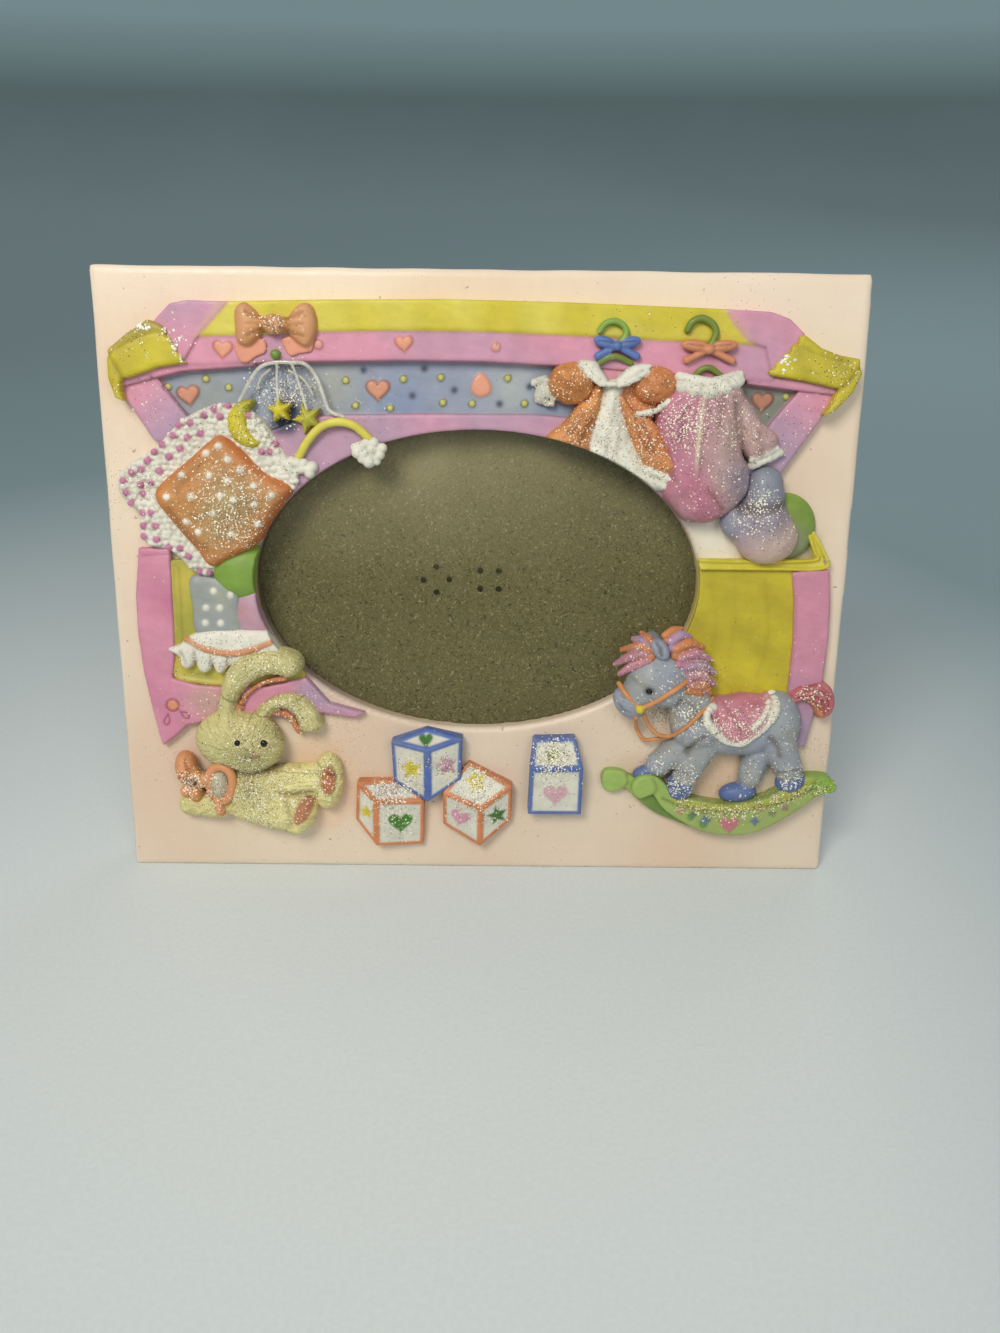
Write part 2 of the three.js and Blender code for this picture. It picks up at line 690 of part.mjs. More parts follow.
function bunny(grow) {
  const [head, body, haunch] = bunnyAt([[-1.5, 8, 4], [2, -5.5, 2.5], [7, -3, 2.5]]);
  const [hip, knee, footHigh] = bunnyAt([[11, -3, 3], [18, -2, 3], [20.5, -2.5, 2.5]]);
  const [low, ankle, footLow] = bunnyAt([[4, -9, 2.5], [10, -12, 2.5], [12, -12.5, 2.5]]);
  return join([
    ball(head, [11.3, 8.8, 7.6], grow),
    ball(body, [12.5, 9.5, 6.5], grow),
    ball(haunch, [8, 8, 6], grow),
    limb(hip, knee, 5, 4.6, grow),
    ball(footHigh, [5, 8.2, 5], grow),
    limb(low, ankle, 5.4, 4.6, grow),
    ball(footLow, [4.6, 6, 4.6], grow),
    chain(bunnyAt([[-16, -9, 2.5], [-6, -10, 2.5]]), [3.2, 4], grow),
    chain(bunnyAt([[-5, 14, 3], [-4, 22, 3.4], [2, 27.5, 3.4], [10, 28.5, 3]]), [3.4, 3.8, 3.8, 3], grow),
    chain(bunnyAt([[2, 14, 3], [8, 19, 3.4], [14, 17, 3.4], [15, 12.5, 3]]), [2.8, 3.2, 3.2, 2.8], grow),
  ]);
}

function bunnyBow(grow) {
  const [loopLeft, knot, loopRight, tail] = bunnyAt([[-15, 0, 3], [-11.5, -2, 4], [-8, -3.5, 4],
    [-14, -6.5, 2.5]]);
  return join([
    ball(loopLeft, [4.2, 5, 3.6], grow, -0.4),
    ball(knot, [2.2, 2.4, 3.6], grow),
    ball(loopRight, [3.4, 5, 3.6], grow, -0.3),
    ball(tail, [3, 2.6, 2.4], grow),
  ]);
}

// Toy blocks: the corner that faces out, the three corners one edge away and the three corners two edges away

const blocksAt = at(PLACES.blocks);

function toyBlock(corner, near, far, height, drop) {
  return (grow) => block(blocksAt([corner])[0], blocksAt(near), blocksAt(far), height, drop, grow);
}

const BLOCKS = {
  block_top: toyBlock([-13.8, 10], [[-23.5, 12.5], [-4.5, 13.6], [-13.8, -4.6]],
    [[-14, 16.4], [-4.8, 2.2], [-22.8, 1.4]], 6.6, 2),
  block_left: toyBlock([-28, -4.8], [[-33, 1], [-14.8, -4.4], [-28, -17.6]],
    [[-20, 2], [-15, -16.8], [-33.5, -9.8]], 6, 2),
  block_right: toyBlock([0.7, -6.5], [[-9.6, -1.8], [9.2, 0.2], [0.5, -17.4]],
    [[-2.6, 7], [9, -9.4], [-9.6, -10.8]], 6.2, 2),
  block_single: toyBlock([21, 5], [[14, 5], [28.3, 5.4], [28.2, -8]],
    [[15, 14], [25, 14.5], [13.5, -8]], 6, 1.6),
};

// Rocking horse

const horseAt = at(PLACES.horse);

function rockingHorse(grow) {
  const [skull, muzzle, brow, nose, belly, rump] = horseAt([[-21, 14, 5], [-28, 5.5, 5], [-23, 10, 5],
    [-27.5, 6, 5], [2, -1, 3], [11.5, 1, 3]]);
  return join([
    ball(skull, [8.3, 7.6, 6], grow),
    limb(brow, nose, 5.2, 4.2, grow),
    ball(muzzle, [4.6, 4, 4.2], grow),
    chain(horseAt([[-29, 16, 4], [-23, 21.5, 4], [-16, 22.5, 4], [-10, 17.5, 4], [-8, 11, 4]]),
      [2.4, 2.8, 2.8, 2.6, 2.2], grow),
    chain(horseAt([[-17, 10, 3.5], [-11, 0, 3]]), [7, 7.6], grow),
    ball(belly, [15.5, 8.4, 6.2], grow),
    ball(rump, [7, 8.4, 6], grow),
    chain(horseAt([[-10, -5, 4], [-13.5, -17, 4]]), [4.2, 3.4], grow),
    chain(horseAt([[-13, -6, 2], [-21.5, -13.5, 2]]), [4, 3.2], grow),
    chain(horseAt([[12, -5, 4], [16.5, -15.5, 4]]), [4.6, 3.4], grow),
    chain(horseAt([[7, -7, 2], [4, -18.5, 2]]), [3.6, 3.2], grow),
    chain(horseAt([[15.5, 7, 3], [21, 9.5, 3], [26, 5, 3]]), [2, 2.8, 2], grow),
  ]);
}

function rocker(points, ends, height) {
  return (grow) => join([
    slab(curved(horseAt(points)), height, grow, 0.6),
    ...horseAt(ends).map(([x, y]) => slab(circle(x, y, 2.8, BORE_SIDES), height, grow, 0.6)),
  ]);
}

const nearRocker = rocker([[-23.5, -18], [-8, -27.5], [1.5, -31.5], [17, -27], [27, -19], [25, -16.5],
  [12, -24], [1.5, -26], [-9, -22.5], [-21.5, -15.5]], [[-23, -18], [26, -17.5]], 5);
const farRocker = rocker([[-32.5, -18.5], [-19, -27], [-6, -30], [-6, -25.5], [-17, -22], [-30.5, -14]],
  [[-31.5, -16.5]], 2.8);

// Toy chest: lid, lid corners and the two sides

const lidAt = at(PLACES.lid);

function lidCap(side) {
  const shapes = {
    left: [[2.5, -12.5], [13, -5.5], [19, -7.5], [22.5, -16], [8, -19], [5, -25], [3, -19.5]],
    right: [[-24, -15.5], [-16, -7], [-7, -11.5], [-0.5, -13.5], [-1, -19.5], [-8.5, -27], [-7, -20.5]],
  };
  const edge = side === 'left' ? left : right;
  return (grow) => slab(outline(lidAt(shapes[side].map(([dx, dy]) => [edge + dx, dy]))), RISE.cap, grow, 1);
}

function chestLid(grow) {
  const shape = outline(lidAt([[left + 2.5, -12.5], [left + 13, -5.5], [left + 15, -4], [left + 22, -1],
    [left + 34, -0.5], [0, 0], [right - 35, -1.5], [right - 23, -2], [right - 18, -5], [right - 16, -7],
    [right - 7, -11.5], [right - 0.5, -13.5], [right - 1, -19.5], [right - 9, -27], [right - 21, -42.5],
    [left + 13, -33.5], [left + 4, -23.5]]));
  const bandEdge = [[left, -20.5], [left + 14, -18.5], [left + 40, -15.8], [0, -14.5], [right - 30, -17.5],
    [right - 13, -20], [right, -22]];
  const underBand = outline(lidAt([...bandEdge, [right, -REACH], [left, -REACH]]));
  const lining = outline(lidAt([[left + 14, -18.5], [left + 40, -15.8], [0, -14.5], [right - 30, -17.5],
    [right - 13, -20], [right - 21, -29], [0, -27.4], [left + 20, -29]]));
  return cutAway(slab(shape, RISE.lid, grow, 1), [
    prism(underBand, RISE.rail + grow, REACH),
    prism(lining, RISE.lining + grow, REACH),
  ]);
}

function chestSideLeft(grow) {
  const shape = outline([[left + 7, 88], [left + 5, 70], [left + 6, 55], [left + 10, 35], [left + 17, 41],
    [left + 25, 42.5], [left + 53, 44], [left + 64, 43.5], [left + 60, 88]]);
  const panel = outline([[left + 15.5, 60], [left + 14.5, 53.5], [left + 60, 50], [left + 60, REACH],
    [left + 16, REACH]]);
  return slab(shape, RISE.chest, grow, 0.7).subtract(prism(panel, -REACH, REACH));
}

function chestPanelLeft(grow) {
  const shape = outline([[left + 16, 60], [left + 15, 54], [left + 50, 51], [left + 50, 84],
    [left + 16.4, 85]]);
  return slab(shape, RISE.panel, grow);
}

function chestFrontRight(grow) {
  const shape = outline([[right - 45, 85], [right - 14, 84], [right - 13.5, 52], [right - 45, 50]]);
  const rim = outline([[right - 45, 84], [right - 8, 84.5], [right - 7, 87], [right - 9, 94],
    [right - 11.5, 94], [right - 10.5, 87.5], [right - 45, 87]]);
  return slab(shape, RISE.panel, grow).add(slab(rim, RISE.rim, grow, 0.6));
}

function chestPostRight(grow) {
  const shape = outline([[right - 13, 83.5], [right - 4, 84.5], [right - 3, 70], [right - 4, 54],
    [right - 7, 36], [right - 12, 36], [right - 12.8, 52]]);
  return slab(shape, RISE.chest, grow, 0.7);
}

// From the drawing to the plate: the bands round the window are stretched to those of the plate.

const marksAcross = [
  -PLATE_WIDTH / 2,
  WINDOW_OFFSET - WINDOW_WIDTH / 2,
  WINDOW_OFFSET + WINDOW_WIDTH / 2,
  PLATE_WIDTH / 2,
];
const marksUp = [0, windowY - WINDOW_HEIGHT / 2, windowY + WINDOW_HEIGHT / 2, PLATE_HEIGHT];
const outward = RELIEF_HEIGHT / DRAWN.out;

function stretch(value, drawn, built) {
  const i = value < drawn[1] ? 0 : value < drawn[2] ? 1 : 2;
  const share = (value - drawn[i]) / (drawn[i + 1] - drawn[i]);
  return built[i] + share * (built[i + 1] - built[i]);
}

function onPlate(body) {
  return body.warp((corner) => {
    corner[0] = stretch(corner[0], DRAWN.across, marksAcross);
    corner[1] = stretch(corner[1], DRAWN.up, marksUp);
    corner[2] *= outward;
  });
}

// The relief's pieces: the chest first, which the figures lie on, then the figures from front to back. What sits
// on the lid's band starts above it, all else just above the plate, and what borders the window ends at it.

const onLid = RISE.lid * outward + FIT;
const [lidBow, dressHook, dressBow] = lidAt([[-50.5, -6], [32, -8], [33, -11]]);
const [romperHook, romperBow] = lidAt([[53.5, -7], [55.5, -11]]);

const relief = [
  { name: 'lid_cap_left', look: YELLOW, make: lidCap('left') },
  { name: 'lid_cap_right', look: YELLOW, make: lidCap('right') },
  { name: 'chest_lid', look: PINK, make: chestLid, rim: true },
  { name: 'chest_side_left', look: PINK, make: chestSideLeft, rim: true },
  { name: 'chest_panel_left', look: YELLOW, make: chestPanelLeft, rim: true },
  { name: 'chest_front_right', look: YELLOW, make: chestFrontRight, rim: true },
  { name: 'chest_post_right', look: PINK, make: chestPostRight },
  { name: 'cloud_left', look: WHITE, make: cloud([3, -24.5], 1) },
  { name: 'cloud_right', look: WHITE, make: cloud([22, -21], 0.95) },
  { name: 'rainbow', look: YELLOW, make: rainbow },
  { name: 'star_right', look: YELLOW, make: starAt([7, -13.5], 4, 0.4) },
  { name: 'star_left', look: YELLOW, make: starAt([-1, -12], 3.4, 0.2) },
  { name: 'moon', look: YELLOW, make: moon },
  { name: 'mobile_strings', look: WHITE, make: mobileStrings },
  { name: 'lid_bow', look: ORANGE, make: bow(lidBow, 20, 10), seat: onLid },
  { name: 'dress_hanger', look: GREEN, make: hanger(dressHook, 3, dressBow, 12, 5), seat: onLid },
  { name: 'romper_hanger', look: GREEN, make: hanger(romperHook, 3.4, romperBow, 15, 6), seat: onLid },
  { name: 'dress', look: ORANGE, make: dress, rim: true },
  { name: 'romper', look: PINK, make: romper, rim: true },
  { name: 'sock', look: LAVENDER, make: sock },
  { name: 'sock_ball', look: GREEN, make: sockBall },
  { name: 'pillow', look: ORANGE, make: pillow, rim: true },
  { name: 'pillow_lace', look: WHITE, make: pillowLace, rim: true },
  { name: 'bunny_bow', look: ORANGE, make: bunnyBow },
  { name: 'bunny', look: FUR, make: bunny },
  { name: 'green_ball', look: GREEN, make: greenBall, rim: true },
  { name: 'doll_skirt', look: WHITE, make: dollSkirt, rim: true },
  { name: 'dotted_drum', look: LAVENDER, make: dottedDrum, rim: true },
  { name: 'pink_ball', look: PINK, make: pinkBall, rim: true },
  { name: 'block_top', look: BLUE, make: BLOCKS.block_top },
  { name: 'block_left', look: ORANGE, make: BLOCKS.block_left },
  { name: 'block_right', look: ORANGE, make: BLOCKS.block_right },
  { name: 'block_single', look: BLUE, make: BLOCKS.block_single },
  { name: 'rocking_horse', look: GREY, make: rockingHorse },
  { name: 'near_rocker', look: GREEN, make: nearRocker },
  { name: 'far_rocker', look: GREEN, make: farRocker },
];

function under(height) {
  return solid(new THREE.BoxGeometry(2 * REACH, 2 * REACH, REACH).translate(0, 0, height - REACH / 2));
}

const taken = [];
for (const { name, look, make, seat = FIT, rim = false } of relief) {
  const cutters = [under(seat), ...taken];
  if (rim) cutters.push(windowHole);
  piece(name, look, largest(cutAway(onPlate(make(0)), cutters)));
  taken.push(onPlate(make(FIT)).subtract(under(seat - FIT)));
}

export default picture;
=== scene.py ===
"""The look of a nursery picture frame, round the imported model: a cream resin plate with an oval window, a
hand-painted relief of an open toy chest with toys and baby clothes, glass, chipboard and an easel strut."""

import json
import math
from collections import namedtuple

import bpy
import numpy as np
from mathutils import Matrix, Vector


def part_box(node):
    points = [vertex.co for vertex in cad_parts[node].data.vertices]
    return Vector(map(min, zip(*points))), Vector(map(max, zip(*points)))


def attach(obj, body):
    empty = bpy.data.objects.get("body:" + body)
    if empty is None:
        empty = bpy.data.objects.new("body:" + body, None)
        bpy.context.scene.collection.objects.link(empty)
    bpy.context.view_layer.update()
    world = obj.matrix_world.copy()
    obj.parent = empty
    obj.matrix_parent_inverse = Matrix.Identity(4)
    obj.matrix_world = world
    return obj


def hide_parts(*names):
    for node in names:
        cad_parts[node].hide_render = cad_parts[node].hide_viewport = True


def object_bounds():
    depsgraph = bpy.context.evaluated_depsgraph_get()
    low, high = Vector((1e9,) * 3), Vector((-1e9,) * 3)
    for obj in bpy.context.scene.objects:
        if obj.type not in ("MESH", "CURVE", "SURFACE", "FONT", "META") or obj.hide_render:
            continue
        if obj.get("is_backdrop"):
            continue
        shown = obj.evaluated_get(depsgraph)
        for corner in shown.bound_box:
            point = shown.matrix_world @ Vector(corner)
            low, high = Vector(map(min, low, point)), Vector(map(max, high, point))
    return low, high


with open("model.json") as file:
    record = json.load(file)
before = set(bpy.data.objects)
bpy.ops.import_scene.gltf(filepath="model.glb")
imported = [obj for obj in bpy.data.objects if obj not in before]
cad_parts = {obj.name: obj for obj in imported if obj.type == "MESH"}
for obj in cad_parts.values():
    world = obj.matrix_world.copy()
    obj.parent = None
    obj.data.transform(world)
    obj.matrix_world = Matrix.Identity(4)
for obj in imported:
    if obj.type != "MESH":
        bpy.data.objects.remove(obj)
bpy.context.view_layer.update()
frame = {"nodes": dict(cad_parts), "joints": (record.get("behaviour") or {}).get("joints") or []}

# The plate's own frame, in millimetres: u to the right, v up the plate, h out of its face. The plate's lower
# edge lies at v = PLATE_FOOT.
MM = 0.001
PLATE_FOOT = -1.4
turn_axis = next(j for j in frame["joints"] if j["name"] == "button_top_left_turn")["axis"]
OUT = -Vector(turn_axis).normalized()
RIGHT = Vector((1, 0, 0))
UP = OUT.cross(RIGHT)
BASE = np.array((0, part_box("frame_plate")[0].y, 0)) - PLATE_FOOT * MM * np.array(UP)
AXES = np.array((RIGHT, UP, OUT)) * MM

PLATE_SIZE = (192.4, 158.2, 10.0)
PLATE_CORNER = 1.0
PLATE_EDGE = 0.9
LIP = 5.0
BOARD_FACE = -7.3
PRONG_CIRCLE = 3.5

# The oval window and the rebate behind it, by their middles and half sizes
WINDOW = (-0.5, 79.0, 58.0, 39.5)
REBATE = (-0.5, 79.0, 64.3, 45.3)

# Where the photograph was taken from, over the plate, the camera's turn there in degrees, and its lens.
# Places on the relief were read on a plane at the height READ.
EYE = np.array((4.1, 119.6, 260.6))
READ = 3.5
VIEW_TURN = (13.54, -0.23, 0.63)
LENS_MM = 27.03
SENSOR_MM = 36
CLIP_START = 10 * MM

STEP, FINE = ((0.4, 0.28))
LACE_STEP, FUR_STEP, PLATE_STEP = ((0.3, 0.33, 0.8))
EYE_STEP = 0.2

# How deep the relief goes into the plate, a distance that counts as far, and a height above all of the relief
SINK = -0.3
FAR = 9.0
HIGHEST = 14
RNG = np.random.default_rng(7)


def linear(red, green, blue):
    """A paint colour from its screen values."""
    c = np.array((red, green, blue)) / 255
    return np.where(c <= 0.04045, c / 12.92, ((c + 0.055) / 1.055) ** 2.4)


CREAM = linear(240, 222, 198)
PEACH = linear(232, 206, 180)
IVORY = linear(240, 232, 212)
PINK = linear(222, 152, 174)
ROSE = linear(200, 118, 150)
LAVENDER = linear(182, 154, 178)
MAUVE = linear(188, 158, 154)
YELLOW = linear(212, 196, 50)
STRAW = linear(226, 214, 92)
OCHRE = linear(184, 168, 44)
LINING = linear(152, 160, 178)
SAGE = linear(170, 174, 158)
ORANGE = linear(206, 144, 84)
RUST = linear(186, 116, 60)
SALMON = linear(224, 152, 108)
GREEN = linear(138, 172, 74)
OLIVE = linear(124, 142, 58)
LEAF = linear(58, 116, 38)
BLUE = linear(82, 108, 176)
DENIM = linear(104, 122, 160)
WHITE = linear(232, 230, 214)
CHALK = linear(212, 212, 196)
FUR = linear(214, 206, 142)
GREY = linear(160, 164, 162)
SLATE = linear(156, 162, 178)
SADDLE = linear(200, 124, 140)
CRIMSON = linear(196, 98, 110)
STRAP = linear(214, 146, 92)
ROCKER = linear(156, 184, 96)
BLACK = linear(24, 22, 22)
NAVY = linear(60, 66, 92)

# Glitter by its kinds of flake, each with a colour and the least and greatest radius. In SPARKLE, WARM and
# FOIL the pale colours are painted glints and the dark ones painted shade of flakes turned from the light.
SPARKLE = ((linear(255, 250, 232), 0.16, 0.3), (linear(255, 246, 222), 0.12, 0.2),
           (linear(252, 242, 214), 0.14, 0.24), (linear(84, 76, 54), 0.1, 0.17),
           (linear(130, 120, 92), 0.1, 0.16))
WARM = ((linear(255, 246, 220), 0.14, 0.26), (linear(240, 214, 166), 0.12, 0.2),
        (linear(92, 72, 46), 0.1, 0.17), (linear(136, 104, 68), 0.1, 0.16))
DUST = ((linear(252, 246, 230), 0.1, 0.18), (linear(160, 122, 84), 0.07, 0.14),
        (linear(120, 92, 62), 0.06, 0.12), (linear(190, 152, 112), 0.08, 0.16))
FOIL = ((linear(255, 255, 252), 0.22, 0.5), (linear(250, 246, 226), 0.16, 0.32))
FLAKE_SIDES = 5

# A groove's shade: how much of red, green and blue it takes away, how much wider than the groove it is, and
# how strong it is by the groove's depth and at most
GROOVE_SHADE = np.array((0.7, 0.8, 0.9))
SHADE_SPREAD, SHADE_BY_DEPTH, SHADE_LIMIT = 1.3, 1.2, 0.55


# Curves and outlines

def curve(points, steps=6, closed=False):
    """Points along a smooth curve through the given ones."""
    p = np.asarray(points, float)
    if closed:
        ring = np.concatenate([p[-1:], p, p[:2]])
    else:
        ring = np.concatenate([2 * p[:1] - p[1:2], p, 2 * p[-1:] - p[-2:-1]])
    a, b, c, d = ring[:-3], ring[1:-2], ring[2:-1], ring[3:]
    t = (np.arange(steps) / steps)[:, None, None]
    q = 0.5 * (2 * b + (c - a) * t + (2 * a - 5 * b + 4 * c - d) * t**2 + (3 * b - a - 3 * c + d) * t**3)
    q = q.transpose(1, 0, 2).reshape(-1, p.shape[1])
    return q if closed else np.concatenate([q, p[-1:]])


def blob(points, steps=5):
    """A smooth outline through points."""
    return curve(points, steps, closed=True)


def corners(points):
    """An outline with sharp corners."""
    return np.asarray(points, float)


def looped(ring):
    """An outline with its first point again at its end."""
    return np.concatenate([ring, ring[:1]])


def turned(points, u, v, degrees):
    """Points turned about the origin and then moved to a place."""
    c, s = math.cos(math.radians(degrees)), math.sin(math.radians(degrees))
    return points @ np.array([[c, s], [-s, c]]) + (u, v)


def disc(u, v, radius, stretch=1.0, turn=0.0, sides=20):
    a = np.linspace(0, 2 * np.pi, sides, endpoint=False)
    return turned(radius * np.stack([np.cos(a), stretch * np.sin(a)], 1), u, v, turn)


def heart(u, v, size, turn=0.0):
    a = np.linspace(0, 2 * np.pi, 28, endpoint=False)
    x = 16 * np.sin(a) ** 3
    y = 13 * np.cos(a) - 5 * np.cos(2 * a) - 2 * np.cos(3 * a) - np.cos(4 * a)
    return turned(np.stack([x, y], 1) * size / 32, u, v, turn)


def star(u, v, radius, inner=0.5, turn=0.0, points=5):
    a = np.pi / 2 + np.arange(2 * points) * np.pi / points
    r = np.where(np.arange(2 * points) % 2, inner * radius, radius)
    return turned(np.stack([r * np.cos(a), r * np.sin(a)], 1), u, v, turn)


def flower(u, v, radius, turn=0.0, petals=5):
    return blob(star(u, v, radius, 0.58, turn, petals), 4)


# Solid forms, each with the box that it fills and its distance field: in millimetres, and negative inside

Form = namedtuple("Form", "far low high")


def seen(points):
    """Places read off the photograph, moved to where they are at their own height above the plate."""
    p = np.array(points, float)
    p[..., :2] = EYE[:2] + (p[..., :2] - EYE[:2]) * ((EYE[2] - p[..., 2:3]) / (EYE[2] - READ))
    return p


def seen_ring(ring, height):
    """An outline read off the photograph, moved to where it is at a height."""
    return seen(np.column_stack([ring, np.full(len(ring), height)]))[:, :2]


def path_far(path, u, v):
    """Distance to an open line on the plate."""
    u, v = np.broadcast_arrays(u, v)
    best = np.full(u.shape, 1e9)
    for (au, av), (bu, bv) in zip(path[:-1], path[1:]):
        eu, ev = bu - au, bv - av
        t = np.clip(((u - au) * eu + (v - av) * ev) / (eu * eu + ev * ev + 1e-12), 0, 1)
        best = np.minimum(best, (u - au - t * eu) ** 2 + (v - av - t * ev) ** 2)
    return np.sqrt(best)


def ring_far(ring, u, v):
    """Distance to a closed outline, negative inside it."""
    u, v = np.broadcast_arrays(u, v)
    path = looped(ring)
    inside = np.zeros(u.shape, bool)
    for (au, av), (bu, bv) in zip(path[:-1], path[1:]):
        if av != bv:
            inside ^= ((av > v) != (bv > v)) & (u - au < (bu - au) * (v - av) / (bv - av))
    return np.where(inside, -1, 1) * path_far(path, u, v)


def eased(x, y, edge):
    """Where two bounds hold at once, with their common edge rounded."""
    x, y = x + edge, y + edge
    return np.minimum(np.maximum(x, y), 0) + np.hypot(np.maximum(x, 0), np.maximum(y, 0)) - edge


def ball(middle, radii, turn=0.0):
    """An ellipsoid, turned on the plate by degrees."""
    c, r = seen(middle), np.array(radii, float)
    cos, sin = math.cos(math.radians(turn)), math.sin(math.radians(turn))

    def far(u, v, h):
        x, y, z = u - c[0], v - c[1], h - c[2]
        x, y = cos * x + sin * y, cos * y - sin * x
        near = np.sqrt((x / r[0]) ** 2 + (y / r[1]) ** 2 + (z / r[2]) ** 2)
        slope = np.sqrt((x / r[0] ** 2) ** 2 + (y / r[1] ** 2) ** 2 + (z / r[2] ** 2) ** 2)
        return near * (near - 1) / (slope + 1e-6)

    return Form(far, c - r.max(), c + r.max())


def rope(points, radii, steps=5):
    """A round cord through points, with one radius or one for each point."""
    path = curve(seen(points), steps)
    given = np.broadcast_to(radii, len(points))
    thick = np.interp(np.linspace(0, len(points) - 1, len(path)), np.arange(len(points)), given)

    def far(u, v, h):
        best = 1e9
        for a, b, ra, rb in zip(path[:-1], path[1:], thick[:-1], thick[1:]):
            e = b - a
            x, y, z = u - a[0], v - a[1], h - a[2]
            t = np.clip((x * e[0] + y * e[1] + z * e[2]) / (e @ e + 1e-12), 0, 1)
            d = np.sqrt((x - t * e[0]) ** 2 + (y - t * e[1]) ** 2 + (z - t * e[2]) ** 2) - ra - (rb - ra) * t
            best = np.minimum(best, d)
        return best

    return Form(far, path.min(0) - thick.max(), path.max(0) + thick.max())


def limb(a, b, ra, rb):
    """A straight round piece that tapers from one end to the other."""
    return rope([a, b], [ra, rb], 1)


def over(ring, far, high, low=SINK, margin=0.0):
    """A form in the box over an outline, between two heights."""
    return Form(far, np.array((*ring.min(0) - margin, low)), np.array((*ring.max(0) + margin, high)))


def slab(ring, top, edge=0.5):
    """A flat-topped outline with a rounded edge."""
    ring = seen_ring(ring, top)
    return over(ring, lambda u, v, h: eased(ring_far(ring, u, v), h - top, edge), top)


def dome(ring, rim, crown, reach, edge=0.5):
    """A stuffed outline: it rises from rim at its edge to crown at a distance inside."""
    ring = seen_ring(ring, 0.5 * (rim + crown))

    def far(u, v, h):
        d = ring_far(ring, u, v)
        t = np.clip(-d / reach, 0, 1)
        top = rim + (crown - rim) * np.sqrt(1 - (1 - t) ** 2)
        return eased(d, (h - top) * 0.8, edge)

    return over(ring, far, crown)


def nearest(forms, u, v, h):
    """Distance to the nearest of several forms."""
    best = forms[0].far(u, v, h)
    for form in forms[1:]:
        best = np.minimum(best, form.far(u, v, h))
    return best


def wrap(ring, forms, thick, height):
    """A cover of a thickness over other forms, inside an outline."""
    ring = seen_ring(ring, height)
    return over(ring, lambda u, v, h: eased(ring_far(ring, u, v), nearest(forms, u, v, h) - thick, 0.3),
                height + 3)


def on(forms, points, lift=0.0, least=0.6):
    """Places on the plate with the height at which the forms' surface is seen there."""
    heights = np.arange(HIGHEST, least, -0.05)
    placed = []
    for u, v in points:
        p = seen(np.column_stack([np.full(len(heights), u), np.full(len(heights), v), heights]))
        hit = nearest(forms, *p.T) < 0
        placed.append((u, v, (heights[hit.argmax()] if hit.any() else least) + lift))
    return placed


def area(ring, height):
    """Everything over an outline, for painting."""
    ring = seen_ring(ring, height)
    return over(ring, lambda u, v, h: ring_far(ring, u, v) + 0 * h, 3 * FAR, -FAR)


def stripe(points, height, width):
    """Everything over a line of a width, for painting."""
    path = seen_ring(curve(points), height)
    return over(path, lambda u, v, h: path_far(path, u, v) - width / 2 + 0 * h, 3 * FAR, -FAR, width)


def ring_band(ring, height, width=0.22):
    """A painted line along a closed outline."""
    return stripe(looped(ring), height, width)


def every(forms, tint):
    """Forms that share one paint."""
    return [(form, tint) for form in forms]


def beads(points, radius, gap, tint):
    """A row of small uneven lumps along a line, like the edge of lace."""
    path = curve(points, 12)
    along_it = np.concatenate([[0], np.cumsum(np.linalg.norm(np.diff(path[:, :2], axis=0), axis=1))])
    at = np.arange(0.3 * gap, along_it[-1], gap)
    spots = np.stack([np.interp(at, along_it, path[:, k]) for k in range(3)], 1)
    sizes = radius * RNG.uniform(0.82, 1.18, (len(spots), 3))
    return [(ball(p, r), tint) for p, r in zip(spots, sizes)]


# Soft irregularity and blended paints

def waves(seed, size, count=7):
    """A smooth random field of about -1 to 1 whose swells are about size millimetres apart."""
    rng = np.random.default_rng(seed)
    ways = rng.normal(size=(count, 3))
    ways *= (2 * np.pi / size * rng.uniform(0.6, 1.5, count) / np.linalg.norm(ways, axis=1))[:, None]
    starts = rng.uniform(0, 2 * np.pi, count)

    def at(u, v, h):
        total = 0
        for (ku, kv, kh), start in zip(ways, starts):
            total = total + np.sin(ku * u + kv * v + kh * h + start)
        return total * (1.4 / count)

    return at


def ripples(seed, size, depth):
    """Waves of a depth, for the surface of a piece."""
    field = waves(seed, size)
    return lambda u, v, h: depth * field(u, v, h)


def airbrush(first, second, seed, size=14.0, share=0.5):
    """Two paints that blend softly into each other."""
    field = waves(seed, size)

    def tint(u, v, h):
        w = np.clip(share + 0.6 * field(u, v, h), 0, 1)[:, None]
        return first * (1 - w) + second * w

    return tint


def fade(first, second, start, end):
    """One paint that turns into another from a place on the plate to another place."""
    start, end = np.array(start, float), np.array(end, float)
    way = (end - start) / ((end - start) @ (end - start))

    def tint(u, v, h):
        w = np.clip((u - start[0]) * way[0] + (v - start[1]) * way[1], 0, 1)[:, None]
        w = w * w * (3 - 2 * w)
        return first * (1 - w) + second * w

    return tint


def falloff(u, v, middle_u, middle_v, reach):
    """A soft round spot: 1 in its middle, and almost nothing at twice its reach."""
    return np.exp(-((u - middle_u) ** 2 + (v - middle_v) ** 2) / reach**2)


def soft_inside(far, soft):
    """1 inside a form and 0 outside it, with a soft edge between."""
    return 1 / (1 + np.exp(np.clip(far / (0.3 * soft), -40, 40)))


def patches(base, spots):
    """A paint with soft patches of others on it, each by its place, reach and colour."""
    def tint(u, v, h):
        colours = colour_of(base, u, v, h)
        for *spot, other in spots:
            colours = colours + falloff(u, v, *spot)[:, None] * (other - colours)
        return colours

    return tint


# From a field of distances to a mesh

